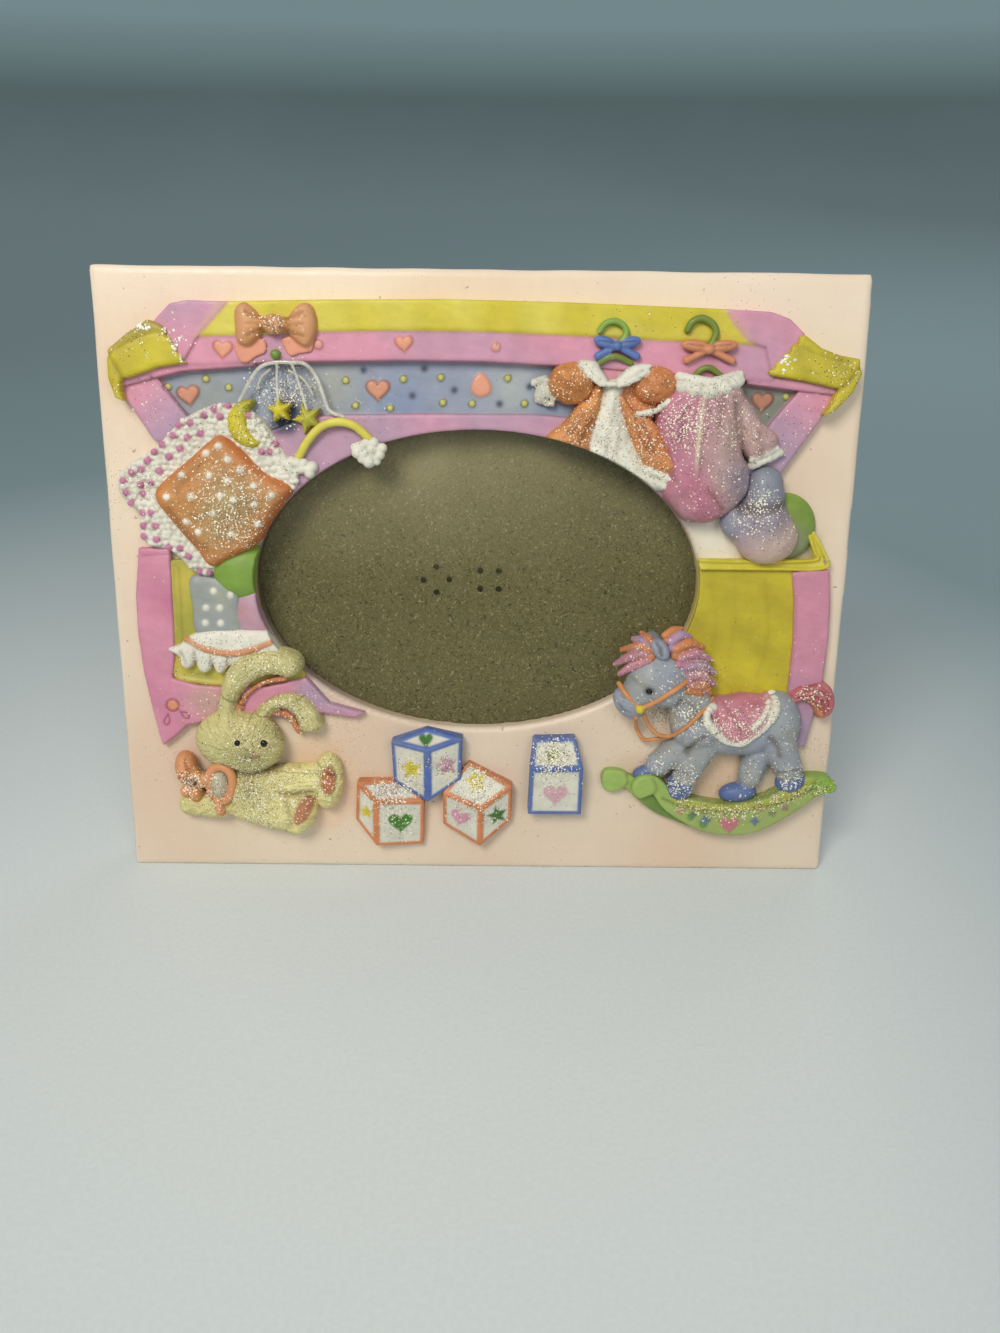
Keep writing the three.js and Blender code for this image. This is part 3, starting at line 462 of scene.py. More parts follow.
def surface(field, low, step):
    """A quad mesh on the zero level of a field, with one point in each cell that the level crosses."""
    inside = field < 0
    size = np.array(field.shape) - 1
    cube = np.array([(i, j, k) for i in (0, 1) for j in (0, 1) for k in (0, 1)])
    count = sum(inside[i:size[0] + i, j:size[1] + j, k:size[2] + k].astype(np.int8) for i, j, k in cube)
    cells = np.argwhere((count > 0) & (count < 8))
    index = np.full(size, -1)
    index[tuple(cells.T)] = np.arange(len(cells))
    values = np.stack([field[tuple((cells + c).T)] for c in cube], 1)
    total, hits = np.zeros((len(cells), 3)), np.zeros((len(cells), 1))
    for a in range(8):
        for axis, stride in enumerate((4, 2, 1)):
            if a & stride:
                continue
            va, vb = values[:, a], values[:, a + stride]
            crossed = (va < 0) != (vb < 0)
            place = np.tile(cube[a].astype(float), (len(cells), 1))
            place[:, axis] += np.where(crossed, va / np.where(crossed, va - vb, 1), 0)
            total += place * crossed[:, None]
            hits += crossed[:, None]
    verts = low + step * (cells + total / hits)
    quads = []
    for axis in range(3):
        d = np.eye(3, dtype=int)[axis]
        e, f = np.roll(d, 1), np.roll(d, 2)
        here = np.delete(inside, -1, axis)
        ahead = np.delete(inside, 0, axis)
        g = np.argwhere(here != ahead)
        quad = np.stack([index[tuple(c.T)] for c in (g, g - e, g - e - f, g - f)], 1)
        leaving = here[tuple(g.T)]
        quads.append(np.where(leaving[:, None], quad, quad[:, ::-1]))
    return verts, np.concatenate(quads)


def to_world(points):
    """From millimetres on the plate's frame to metres in the scene."""
    return BASE + points @ AXES


def mesh_object(name, points, faces, look, colours, smooth=True, flow=None):
    """A painted mesh that belongs to the frame's fixed body."""
    mesh = bpy.data.meshes.new(name)
    mesh.from_pydata(to_world(points).tolist(), [], faces)
    mesh.polygons.foreach_set("use_smooth", np.full(len(mesh.polygons), smooth))
    layer = mesh.color_attributes.new("paint", "FLOAT_COLOR", "POINT")
    layer.data.foreach_set("color", np.column_stack([np.clip(colours, 0, 1), np.ones(len(colours))]).ravel())
    if flow is not None:
        mesh.attributes.new("flow", "FLOAT_VECTOR", "POINT").data.foreach_set("vector", flow.ravel())
    mesh.materials.append(look)
    made = bpy.data.objects.new(name, mesh)
    bpy.context.scene.collection.objects.link(made)
    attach(made, "frame")
    return made


def soft_min(a, b, k):
    """The nearer of two distances, with a fillet of a width where they meet."""
    w = np.maximum(k - np.abs(a - b), 0) / k
    return np.minimum(a, b) - w * w * k / 4


def window_far(u, v):
    """Distance to the oval window's edge, negative inside it."""
    cu, cv, ru, rv = WINDOW
    x, y = (u - cu) / ru, (v - cv) / rv
    near = np.sqrt(x * x + y * y)
    return near * (near - 1) / (np.sqrt((x / ru) ** 2 + (y / rv) ** 2) + 1e-6)


def grid_axes(low, high, step):
    """The places of a grid's cells along each of its axes."""
    return [np.arange(a, b + step, step) for a, b in zip(low, high)]


def spread(axes):
    """Three axes, ready to fill a grid together."""
    u, v, h = axes
    return u[:, None, None], v[None, :, None], h[None, None, :]


def part_of(axes, form, margin):
    """The slice of a grid that a form can touch, and its three axes ready to spread over it."""
    cut = tuple(slice(np.searchsorted(a, lo - margin), np.searchsorted(a, hi + margin))
                for a, lo, hi in zip(axes, form.low, form.high))
    return cut, spread([a[c] for a, c in zip(axes, cut)])


def colour_of(tint, u, v, h):
    """A paint's colours at places, from one colour or from a function of the place."""
    return tint(u, v, h) if callable(tint) else np.tile(tint, (len(u), 1))


def within(points, form, margin):
    """Which points lie in a form's box or near it."""
    return np.all((points > form.low - margin) & (points < form.high + margin), 1)


def blotted(colours, points, form, tint, soft):
    """Paint laid over a form with a soft edge."""
    near = within(points, form, 3 * soft)
    u, v, h = points[near].T
    w = soft_inside(form.far(u, v, h), soft)[:, None]
    colours[near] += w * (colour_of(tint, u, v, h) - colours[near])


def sculpt(name, parts, look, blend=0.5, paint=(), lines=(), ripple=None, rim=False, step=STEP,
           crisp=0.14, glitter=(), replaces=True, floor=SINK, flow=None):
    """One painted piece of the relief, which stands for the solid of the same name or adds to one. Parts are
    forms with their paint, lines are grooves with a height, a width and a depth, and paint lies over them."""
    margin = blend + 2 * step
    low = np.min([f.low for f, _ in parts], 0) - margin - step
    high = np.max([f.high for f, _ in parts], 0) + margin + step
    low[2] = floor - 2.5 * step
    axes = grid_axes(low, high, step)
    field = np.full([len(a) for a in axes], FAR)
    for form, _ in parts:
        cut, grid = part_of(axes, form, margin)
        field[cut] = soft_min(field[cut], form.far(*grid), blend)
    u, v, h = spread(axes)
    paths = [(seen_ring(curve(points), height), width, depth) for points, height, width, depth in lines]
    for path, width, depth in paths:
        field += depth * np.exp(-(path_far(path, u, v) / width) ** 2)
    if ripple:
        field += ripple(u, v, h)
    field = np.maximum(field, floor - h)
    if rim:
        field = np.maximum(field, -window_far(u, v))
    points, faces = surface(field, low, step)
    pu, pv, ph = points.T
    total, weight = np.zeros((len(points), 3)), np.full((len(points), 1), 1e-12)
    for form, tint in parts:
        near = within(points, form, 1.5)
        w = np.exp(-np.clip(form.far(pu[near], pv[near], ph[near]), -1, 2) / crisp)[:, None]
        total[near] += w * colour_of(tint, pu[near], pv[near], ph[near])
        weight[near] += w
    colours = total / weight
    for form, tint, soft in paint:
        blotted(colours, points, form, tint, soft)
    for path, width, depth in paths:
        shade = np.exp(-(path_far(path, pu, pv) / (SHADE_SPREAD * width)) ** 2)
        shade *= min(SHADE_BY_DEPTH * depth, SHADE_LIMIT)
        colours *= 1 - shade[:, None] * GROOVE_SHADE
    made = mesh_object(name + "_painted", points, faces.tolist(), look, colours,
                       flow=np.stack(flow(pu, pv), 1) if flow else None)
    if replaces:
        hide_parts(name)
    if glitter:
        sprinkle(name + "_glitter", points, faces, glitter)


def sprinkle(name, points, faces, groups):
    """Glitter on a mesh, as flakes with a low tip: for each group its count, where it lies, and its kinds."""
    quad = points[faces]
    side_a, side_b = quad[:, 1] - quad[:, 0], quad[:, 3] - quad[:, 0]
    normal = np.cross(side_a, side_b)
    sizes = np.linalg.norm(normal, axis=1)
    normal /= sizes[:, None] + 1e-12
    middle = quad.mean(1)
    facing = np.clip(normal[:, 2] + 0.25, 0, 1) * (middle[:, 2] > -0.5)
    angles = np.arange(FLAKE_SIDES) * 2 * np.pi / FLAKE_SIDES
    ring = np.stack([np.cos(angles), np.sin(angles)], 1)
    chips, tints = [], []
    for count, spot, kinds in groups:
        chance = sizes * facing * falloff(middle[:, 0], middle[:, 1], *spot)
        chosen = RNG.choice(len(faces), count, p=chance / chance.sum())
        s, t = RNG.uniform(size=(2, count, 1))
        place = quad[chosen, 0] + side_a[chosen] * s + side_b[chosen] * t + 0.04 * normal[chosen]
        lean = normal[chosen] + RNG.normal(scale=0.3, size=(count, 3))
        lean /= np.linalg.norm(lean, axis=1)[:, None]
        first = np.cross(lean, RNG.normal(size=(count, 3)))
        first /= np.linalg.norm(first, axis=1)[:, None]
        second = np.cross(lean, first)
        kind = RNG.integers(len(kinds), size=count)
        least, most = (np.array([k[i] for k in kinds])[kind] for i in (1, 2))
        radius = (least + (most - least) * RNG.uniform(size=count))[:, None, None]
        across = first[:, None] * ring[None, :, :1] + second[:, None] * ring[None, :, 1:]
        rim = place[:, None] + radius * across
        tip = place[:, None] + 0.35 * radius * lean[:, None]
        chips.append(np.concatenate([rim, tip], 1).reshape(-1, 3))
        tints.append(np.repeat(np.array([k[0] for k in kinds])[kind], FLAKE_SIDES + 1, 0))
    spots = np.concatenate(chips)
    sides = []
    for base in range(0, len(spots), FLAKE_SIDES + 1):
        edge = [base + i for i in range(FLAKE_SIDES)]
        sides.append(edge[::-1])
        sides += [(a, b, base + FLAKE_SIDES) for a, b in zip(edge, edge[1:] + edge[:1])]
    mesh_object(name, spots, sides, FLAKE, np.concatenate(tints), False)


# Materials

class Tree:
    """The nodes of a material or a world, added one by one with their inputs."""

    def __init__(self, owner):
        self.owner = owner
        owner.use_nodes = True
        self.nodes = owner.node_tree.nodes
        self.links = owner.node_tree.links
        self.nodes.clear()

    def add(self, kind, settings=None, **inputs):
        node = self.nodes.new("ShaderNode" + kind)
        for key, value in (settings or {}).items():
            setattr(node, key, value)
        for key, value in inputs.items():
            self.put(node.inputs[key.replace("_", " ")], value)
        return node

    def put(self, socket, value):
        if isinstance(value, bpy.types.NodeSocket):
            self.links.new(value, socket)
        else:
            socket.default_value = value

    def place(self, stretch=(1, 1, 1), turn=(0, 0, 0)):
        """Object coordinates, turned and then drawn out along their own axes."""
        spot = self.add("TexCoord").outputs["Object"]
        turns = tuple(math.radians(a) for a in turn)
        return self.add("Mapping", {"vector_type": "TEXTURE"}, Vector=spot, Scale=stretch,
                        Rotation=turns).outputs["Vector"]

    def attribute(self, name, output="Color"):
        return self.add("Attribute", {"attribute_name": name}).outputs[output]

    def noise(self, where, scale, detail=3.0, rough=0.55, warp=0.0):
        """Noise with about so many swells to the metre."""
        return self.add("TexNoise", Vector=where, Scale=scale, Detail=detail, Roughness=rough,
                        Distortion=warp).outputs["Fac"]

    def between(self, value, low, high, to_low, to_high):
        node = self.add("MapRange", Value=value, From_Min=low, From_Max=high, To_Min=to_low, To_Max=to_high)
        return node.outputs["Result"]

    def spread(self, noise, low, high):
        """The middle values of a noise, drawn out over a range."""
        return self.between(noise, 0.3, 0.7, low, high)

    def mix(self, share, first, second, kind="MIX"):
        node = self.add("MixRGB", {"blend_type": kind}, Fac=share, Color1=first, Color2=second)
        return node.outputs["Color"]

    def shaded(self, base, noise, low, high):
        """A colour that a noise makes darker and lighter."""
        return self.mix(1.0, base, self.spread(noise, low, high), "MULTIPLY")

    def math(self, operation, first, second):
        node = self.add("Math", {"operation": operation})
        for socket, value in zip(node.inputs, (first, second)):
            self.put(socket, value)
        return node.outputs["Value"]

    def bump(self, height, distance, strength, below=None):
        inputs = {"Height": height, "Distance": distance, "Strength": strength}
        if below is not None:
            inputs["Normal"] = below
        return self.add("Bump", **inputs).outputs["Normal"]

    def shaders(self, share, first, second):
        node = self.add("MixShader", Fac=share)
        self.links.new(first.outputs[0], node.inputs[1])
        self.links.new(second.outputs[0], node.inputs[2])
        return node

    def done(self, shader, output="OutputMaterial"):
        self.add(output, Surface=shader.outputs[0])
        return self.owner

    def surface(self, **inputs):
        """The material, from the inputs of the one shader that it needs."""
        return self.done(self.add("BsdfPrincipled", **inputs))


def material(name):
    """The empty node tree of a new material."""
    return Tree(bpy.data.materials.new(name))


def rgba(colour):
    """A paint colour as a node takes it."""
    return (*map(float, colour), 1.0)


def painted(name, roughness=(0.36, 0.56), mottle=0.1, strokes=0.0, grain=0.2, wash_and_shade=0.5, wear=0.3):
    """Hand-painted cast resin: mottled paint, hollows washed brown and darkened with painted shade, worn
    crests and a satin varnish.
    """
    tree = material(name)
    where = tree.place()
    cloudy = tree.noise(where, 230, 5)
    base = tree.shaded(tree.attribute("paint"), cloudy, 1 - mottle, 1 + 0.6 * mottle)
    brushed = tree.noise(tree.place((6, 1, 1), (0, 12, 0)), 520, 3, 0.6, 0.5)
    base = tree.shaded(base, brushed, 1 - 0.6 * mottle, 1 + 0.3 * mottle)
    point = tree.add("NewGeometry").outputs["Pointiness"]
    # Hollows washed brown, partly a painted shade in them
    hollow = tree.math("MULTIPLY", tree.between(point, 0.40, 0.495, 1, 0), wash_and_shade)
    base = tree.mix(hollow, base, rgba(linear(150, 118, 96)), "MULTIPLY")
    worn = tree.between(cloudy, 0.45, 0.6, 0, wear)
    crest = tree.math("MULTIPLY", tree.between(point, 0.53, 0.62, 0, 1), worn)
    base = tree.mix(crest, base, rgba(IVORY))
    specks = tree.between(tree.noise(where, 900, 2), 0.72, 0.77, 0, 0.5)
    base = tree.mix(specks, base, rgba(linear(96, 78, 62)))
    normal = tree.bump(tree.noise(where, 2600, 3), 0.0002, grain)
    normal = tree.bump(cloudy, 0.0006, 0.18, normal)
    normal = tree.bump(brushed, 0.0003, 0.12, normal)
    if strokes:
        for scale in (1.1, 2.3):
            hair = tree.noise(tree.attribute("flow", "Vector"), scale, 2, 0.5, 0.2)
            base = tree.shaded(base, hair, 0.89, 1.08)
            normal = tree.bump(hair, 0.0008, strokes, normal)
    shine = tree.spread(tree.noise(where, 420, 3), *roughness)
    return tree.surface(Base_Color=base, Roughness=shine, Normal=normal, Specular_IOR_Level=0.45)


def plate_paint():
    """The plate's cream paint, brushed in long soft strokes, worn to bare resin along the edges."""
    tree = material("plate_paint")
    where = tree.place()
    brush = tree.noise(tree.place((1, 1, 8)), 420, 4, 0.6, 0.6)
    cross = tree.noise(tree.place((7, 1, 1)), 360, 4, 0.6, 0.6)
    cloudy = tree.noise(where, 30, 4)
    base = tree.shaded(tree.attribute("paint"), brush, 0.985, 1.01)
    base = tree.shaded(base, cross, 0.99, 1.01)
    base = tree.mix(tree.between(cloudy, 0.5, 0.75, 0, 0.3), base, rgba(linear(230, 196, 170)))
    point = tree.add("NewGeometry").outputs["Pointiness"]
    edge = tree.math("MULTIPLY", tree.between(point, 0.52, 0.6, 0, 1),
                     tree.between(tree.noise(where, 120), 0.35, 0.6, 0, 0.8))
    base = tree.mix(edge, base, rgba(linear(246, 240, 226)))
    # Hollows washed brown, partly a painted shade in them
    base = tree.mix(tree.between(point, 0.42, 0.49, 0.4, 0), base, rgba(linear(150, 116, 92)), "MULTIPLY")
    dirt = tree.between(tree.noise(where, 520, 2), 0.72, 0.76, 0, 0.55)
    base = tree.mix(dirt, base, rgba(linear(120, 92, 70)))
    normal = tree.bump(tree.noise(where, 1800, 3), 0.0002, 0.16)
    normal = tree.bump(brush, 0.0005, 0.1, normal)
    normal = tree.bump(cross, 0.0004, 0.06, normal)
    normal = tree.bump(tree.noise(where, 60, 3), 0.001, 0.14, normal)
    shine = tree.spread(brush, 0.3, 0.46)
    return tree.surface(Base_Color=base, Roughness=shine, Normal=normal, Specular_IOR_Level=0.45)


def flake_metal():
    """Metal foil chips under varnish, their glints partly painted into their pale colours."""
    tree = material("glitter_flake")
    shine = tree.spread(tree.noise(tree.place(), 1500, 2), 0.18, 0.36)
    return tree.surface(Base_Color=tree.attribute("paint"), Metallic=0.05, Roughness=shine,
                        Specular_IOR_Level=0.8)


def clear_cord():
    """Clear glossy resin drawn into strings, milky where it is thick."""
    tree = material("clear_cord")
    milky = tree.between(tree.noise(tree.place(), 500, 3), 0.35, 0.65, 0.0, 0.5)
    base = tree.mix(milky, tree.attribute("paint"), rgba(linear(246, 244, 236)))
    body = tree.add("BsdfPrincipled", Base_Color=base, Roughness=0.12, Coat_Weight=0.6, Coat_Roughness=0.05,
                    Specular_IOR_Level=0.6)
    through = tree.add("BsdfTransparent", Color=(0.95, 0.95, 0.93, 1))
    return tree.done(tree.shaders(tree.between(milky, 0, 0.5, 0.62, 0.3), body, through))


def pane_glass():
    """Thin window glass, with a little dust and a painted reflection: a pale glare that thickens to its top.
    """
    tree = material("pane_glass")
    where = tree.place()
    dust = tree.between(tree.noise(where, 700, 4, 0.7), 0.55, 0.8, 0.0, 0.06)
    spot = tree.add("SeparateXYZ", Vector=tree.add("TexCoord").outputs["Object"]).outputs
    place = frame["nodes"]["glass_pane"].matrix_world.translation
    low, high = (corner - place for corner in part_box("glass_pane"))
    # Painted reflection of the room on the glass: a pale glare, strongest at its top and weaker to the right
    painted_glare = tree.math("MULTIPLY", tree.between(spot["Z"], 0.5 * (low.z + high.z), high.z, 0.01, 0.34),
                     tree.spread(tree.noise(where, 40, 3), 0.6, 1.3))
    painted_glare = tree.math("MULTIPLY", painted_glare, tree.between(spot["X"], 0.5 * (low.x + high.x), high.x, 1.0, 0.15))
    through = tree.add("BsdfTransparent", Color=(0.97, 0.98, 0.97, 1))
    gloss = tree.add("BsdfGlossy", Color=(1, 1, 1, 1), Roughness=0.03)
    film = tree.add("BsdfDiffuse", Color=rgba(linear(222, 210, 164)))
    outer = tree.math("SUBTRACT", 1.0, tree.add("NewGeometry").outputs["Backfacing"])
    sheen = tree.math("MULTIPLY", tree.add("Fresnel", IOR=1.45).outputs["Fac"], outer)
    dust_and_glare = tree.math("MULTIPLY", tree.math("ADD", dust, painted_glare), outer)
    return tree.done(tree.shaders(dust_and_glare, tree.shaders(sheen, through, gloss), film))


def fibre_board(name, tone, light, dark):
    """Grey-brown pulp board with pale and dark fibres."""
    tree = material(name)
    where = tree.place()
    pulp = tree.noise(where, 2000, 6, 0.75)
    base = tree.mix(tree.between(pulp, 0.36, 0.64, 0, 1), rgba(0.7 * tone), rgba(1.28 * tone))
    base = tree.shaded(base, tree.noise(where, 90, 4), 0.93, 1.05)
    fibres = ((25, 14, light, 0.65), (-50, 20, light, 0.65), (100, -15, light, 0.66), (70, 10, dark, 0.64),
              (-10, -20, dark, 0.64), (140, 25, dark, 0.65))
    for lean, tip, colour, least in fibres:
        fibre = tree.noise(tree.place((1, 1, 2.6), (tip, lean, 10)), 1900, 2, 0.5, 0.8)
        base = tree.mix(tree.between(fibre, least, least + 0.05, 0, 0.85), base, rgba(colour))
    return tree.surface(Base_Color=base, Roughness=0.86, Normal=tree.bump(pulp, 0.0003, 0.35),
                        Specular_IOR_Level=0.2)


def torn_board_and_hole_shade():
    """Bare torn fibre, dull and dark, also standing for the painted shade in the prongs' holes."""
    tree = material("torn_board_and_hole_shade")
    base = tree.shaded(tree.attribute("paint"), tree.noise(tree.place(), 2400, 4), 0.6, 1.4)
    return tree.surface(Base_Color=base, Roughness=0.95, Specular_IOR_Level=0.05)


def metal(name, tone, roughness):
    """Drawn sheet metal with fine scratches and a few dull spots."""
    tree = material(name)
    drawn = tree.noise(tree.place((1, 20, 20)), 3000, 3, 0.6)
    spots = tree.noise(tree.place(), 260, 4, 0.6)
    base = tree.mix(tree.between(spots, 0.45, 0.7, 0, 0.4), rgba(tone), rgba(0.55 * tone))
    shine = tree.math("ADD", tree.spread(drawn, roughness - 0.08, roughness + 0.08),
                      tree.between(spots, 0.5, 0.7, 0, 0.15))
    return tree.surface(Base_Color=base, Metallic=1.0, Roughness=shine, Normal=tree.bump(drawn, 0.0001, 0.2))


RESIN = painted("painted_resin")
SATIN = painted("painted_board", mottle=0.09, grain=0.14, wear=0.45)
PLUSH = painted("painted_fur", roughness=(0.48, 0.66), strokes=0.7, wear=0.2)
KNIT = painted("painted_cloth", roughness=(0.42, 0.6), mottle=0.14, grain=0.4, wash_and_shade=0.6, wear=0.25)
LACE = painted("painted_lace", roughness=(0.46, 0.64), grain=0.5, wash_and_shade=0.7, wear=0.2)
GLOSS = painted("painted_gloss", roughness=(0.08, 0.16), mottle=0.05, grain=0.02, wash_and_shade=0.2, wear=0.0)
PLATE_LOOK = plate_paint()
FLAKE = flake_metal()
CLEAR = clear_cord()
GLASS = pane_glass()
CHIPBOARD = fibre_board("chipboard", linear(114, 106, 70), linear(172, 162, 122), linear(56, 49, 31))
STRUT_BOARD = fibre_board("strut_board", linear(104, 95, 76), linear(158, 148, 120), linear(46, 42, 32))
TORN_AND_HOLE_SHADE = torn_board_and_hole_shade()
STEEL = metal("bright_steel", linear(196, 196, 192), 0.3)
BRASSY = metal("brass_plate", linear(196, 166, 96), 0.32)


# The plate

# Soft areas of other paint on the face, and one of painted shade, by outline, colour and softness
WASHES_AND_SHADE = (
    (blob([(50, 99), (66, 98.5), (66, 92), (70, 86), (52, 85)]), IVORY, 0.8),
    # Painted shade in the chest's right-hand corner
    (blob([(74, 92), (86, 94), (88, 86), (74, 85)]), linear(178, 172, 150), 1.6),
    (blob([(60, 32), (75, 33), (74, 22), (60, 21)]), linear(222, 192, 160), 2.5),
    (blob([(38, 30), (48, 32), (56, 22), (46, 18)]), linear(224, 198, 170), 3),
    (blob([(-52, 33), (-36, 35), (-33, 18), (-44, 10)]), linear(228, 200, 172), 3),
)
# Paint of the relief that has run onto the window's wall, by place, reach and colour
SPILLS = ((-57, 97, 9, RUST), (-59, 84, 7, LEAF), (-58.5, 71, 6, MAUVE), (-46, 52, 9, MAUVE),
          (57, 75, 14, OCHRE), (30, 112, 10, WHITE), (52, 101, 9, MAUVE), (-20, 117, 22, LAVENDER),
          (-44, 108, 9, LAVENDER))
# Painted shade for the window's wall, darkest at its top and left
WALL_SHADE = linear(88, 62, 48)
# Specks on the face, by count, place and reach
SPECKS = ((140, (-35, 8, 14)), (140, (62, 27, 9)), (140, (-38, 30, 8)), (120, (90, 33, 6)),
          (90, (-93, 104, 7)), (70, (66, 151, 9)), (120, (-38, 42, 7)), (120, (46, 36, 9)), (90, (10, 8, 16)),
          (90, (-84, 30, 7)), (90, (62, 62, 6)), (200, (0, 78, 95)))


def plate_field():
    """The plate as a field of distances, and the first corner of its grid. It has a window with a rebate
    behind it, and a base that is cut level."""
    width, height, thick = PLATE_SIZE
    pad = 2.5 * PLATE_STEP
    low = np.array((-width / 2 - pad, PLATE_FOOT - pad, -thick - pad))
    high = np.array((width / 2 + pad, PLATE_FOOT + height + pad, pad))
    u, v, h = spread(grid_axes(low, high, PLATE_STEP))
    side = eased(np.abs(u) - width / 2, np.abs(v - PLATE_FOOT - height / 2) - height / 2, PLATE_CORNER)
    side = side + 0.18 * waves(3, 26)(u, v, 0) * (v > 4)
    solid = eased(np.maximum(side, -window_far(u, v)), np.abs(h + thick / 2) - thick / 2, PLATE_EDGE)
    cu, cv, ru, rv = REBATE
    rebate = np.maximum(np.maximum(np.abs(u - cu) - ru, np.abs(v - cv) - rv), h + LIP)
    solid = np.maximum(solid, -rebate)
    lean = OUT.z
    return np.maximum(solid, -((v - PLATE_FOOT) * math.sqrt(1 - lean * lean) + h * lean)), low


def plate_colours(u, v, h):
    """Cream paint, darker towards the bottom as painted shade, with washes and a patch of painted shade, the
    relief's paint on the window's wall, and painted shade on the wall's top and left.
    """
    # Darker towards the bottom: painted shade, as the light falls off down the plate
    colours = airbrush(CREAM, PEACH, 11, 46, 0.3)(u, v, h) * (0.88 + 0.18 * v / PLATE_SIZE[1])[:, None]

    def lay(weight, tint):
        colours[:] += weight[:, None] * (tint - colours)

    for ring, tint, soft in WASHES_AND_SHADE:
        lay(soft_inside(ring_far(ring, u, v), soft) * (h > -1), tint)
    wall = np.exp(-(window_far(u, v) / 1.6) ** 2) * (h > -LIP - 1) * (h < 1)
    for *spot, tint in SPILLS:
        lay(0.85 * wall * falloff(u, v, *spot), tint)
    cu, cv, ru, rv = WINDOW
    # Painted shade down the top and left of the window's wall
    lay(0.95 * wall * (h < -0.3) * np.clip(0.55 + 0.6 * (v - cv) / rv - 0.5 * (u - cu) / ru, 0, 1), WALL_SHADE)
    return colours


def plate():
    """The painted plate, with its specks."""
    points, faces = surface(*plate_field(), PLATE_STEP)
    made = mesh_object("plate_painted", points, faces.tolist(), PLATE_LOOK, plate_colours(*points.T))
    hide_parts("frame_plate")
    sprinkle("plate_glitter", points, faces,
             [(count, spot, DUST) for count, spot in SPECKS] + [(240, (49.6, 44, 2.0), SPARKLE)])


plate()


# Toy chest: lid, corner protectors and the two sides

PINKS = airbrush(PINK, LAVENDER, 21, 26, 0.15)
YELLOWS = airbrush(YELLOW, STRAW, 23, 20, 0.3)
HEART = linear(234, 162, 130)
# The lining darkens to sage towards the right: painted shade there. Soft patches of other tints lie on it.
LINED = patches(fade(LINING, 0.6 * SAGE, (0, 126), (66, 121)), [
    (-37, 129, 7, linear(166, 170, 164)), (8.6, 128.5, 7, linear(178, 184, 182)),
    (-68, 126, 8, linear(154, 160, 160)), (-20, 124, 7, linear(138, 152, 180)),
    (20, 126, 8, linear(140, 152, 176)),
])

lid_parts = [
    (slab(corners([(-71, 140), (-64.5, 148.2), (-40, 148.9), (-10, 149.4), (20, 149), (45, 148.3),
                   (61, 147.8), (64, 144.6), (68, 139.6), (50, 140.2), (30, 141), (0, 142), (-20, 142),
                   (-40, 141.5), (-55, 140.6)]), 5, 0.5), YELLOWS),
    (slab(corners([(-74, 133), (-68, 142), (-40, 144), (0, 144.6), (40, 143.4), (65, 142), (72, 138),
                   (72.5, 131), (60, 131.2), (30, 133.6), (0, 134.9), (-20, 134.9), (-45, 134.3)]), 4.5, 0.6),
     PINKS),
    (slab(corners([(-80, 143.6), (-76, 147.6), (-72, 148.4), (-61.4, 148.2), (-65, 144.4), (-69.6, 139.8),
                   (-74, 133), (-80, 136)]), 5.2, 0.4), PINKS),
    (slab(corners([(59.4, 147.8), (66, 147.6), (71, 147.3), (75.4, 145.8), (79.5, 142.2), (76, 136),
                   (72, 132), (70, 138.9), (65.4, 140.3), (61.2, 145)]), 5.2, 0.4), PINKS),
    (slab(corners([(-91, 130.4), (-74, 134.4), (-56, 135.2), (-56, 133.2), (-74, 131.8), (-89.5, 127.8)]),
          4.1, 0.6), PINKS),
    (slab(corners([(66, 132.8), (89.5, 130.4), (88.5, 127.8), (66, 130.2)]), 4.1, 0.6), PINKS),
    (slab(corners([(-86, 131.6), (-40, 136), (0, 137), (40, 135), (86, 131.4), (70, 111), (58, 114), (0, 112),
                   (-56, 108), (-74, 112)]), 1.2, 0.3), LINED),
    (slab(blob([(-62, 112), (-45, 120.4), (-28, 121.8), (0, 122.2), (20, 121.8), (44, 117), (40, 100),
                (-56, 100)]), 2.6, 0.5), airbrush(LAVENDER, PINK, 24, 22, 0.45)),
    (slab(corners([(-90.6, 128.8), (-80.5, 130.6), (-70.4, 118), (-72, 112), (-82, 115)]), 3, 0.6),
     fade(PINK, LAVENDER, (-88, 128), (-76, 116))),
    (slab(corners([(79.8, 129.8), (89.4, 128.6), (84, 120.4), (74.6, 106.5), (66, 108), (72.6, 121)]),
          3, 0.6), fade(PINK, LAVENDER, (88, 127), (76, 112))),
]
lid_paint = [(area(disc(u, v, 0.8), 1.2), NAVY, 0.8) for u, v in
             ((-29, 132.5), (-17, 126.5), (-6.6, 128), (4.6, 124.8), (-14, 133), (12, 129))]
# Painted shadow on the lining under the stars
lid_paint.append((area(blob([(-49, 125), (-45.5, 124.4), (-45, 120), (-47, 117), (-52.6, 118)]), 1.2),
                  NAVY, 1.6))
# The heights of raised marks on the lid's border and on its lining
ON_BORDER, ON_LINING = 4.85, 1.75
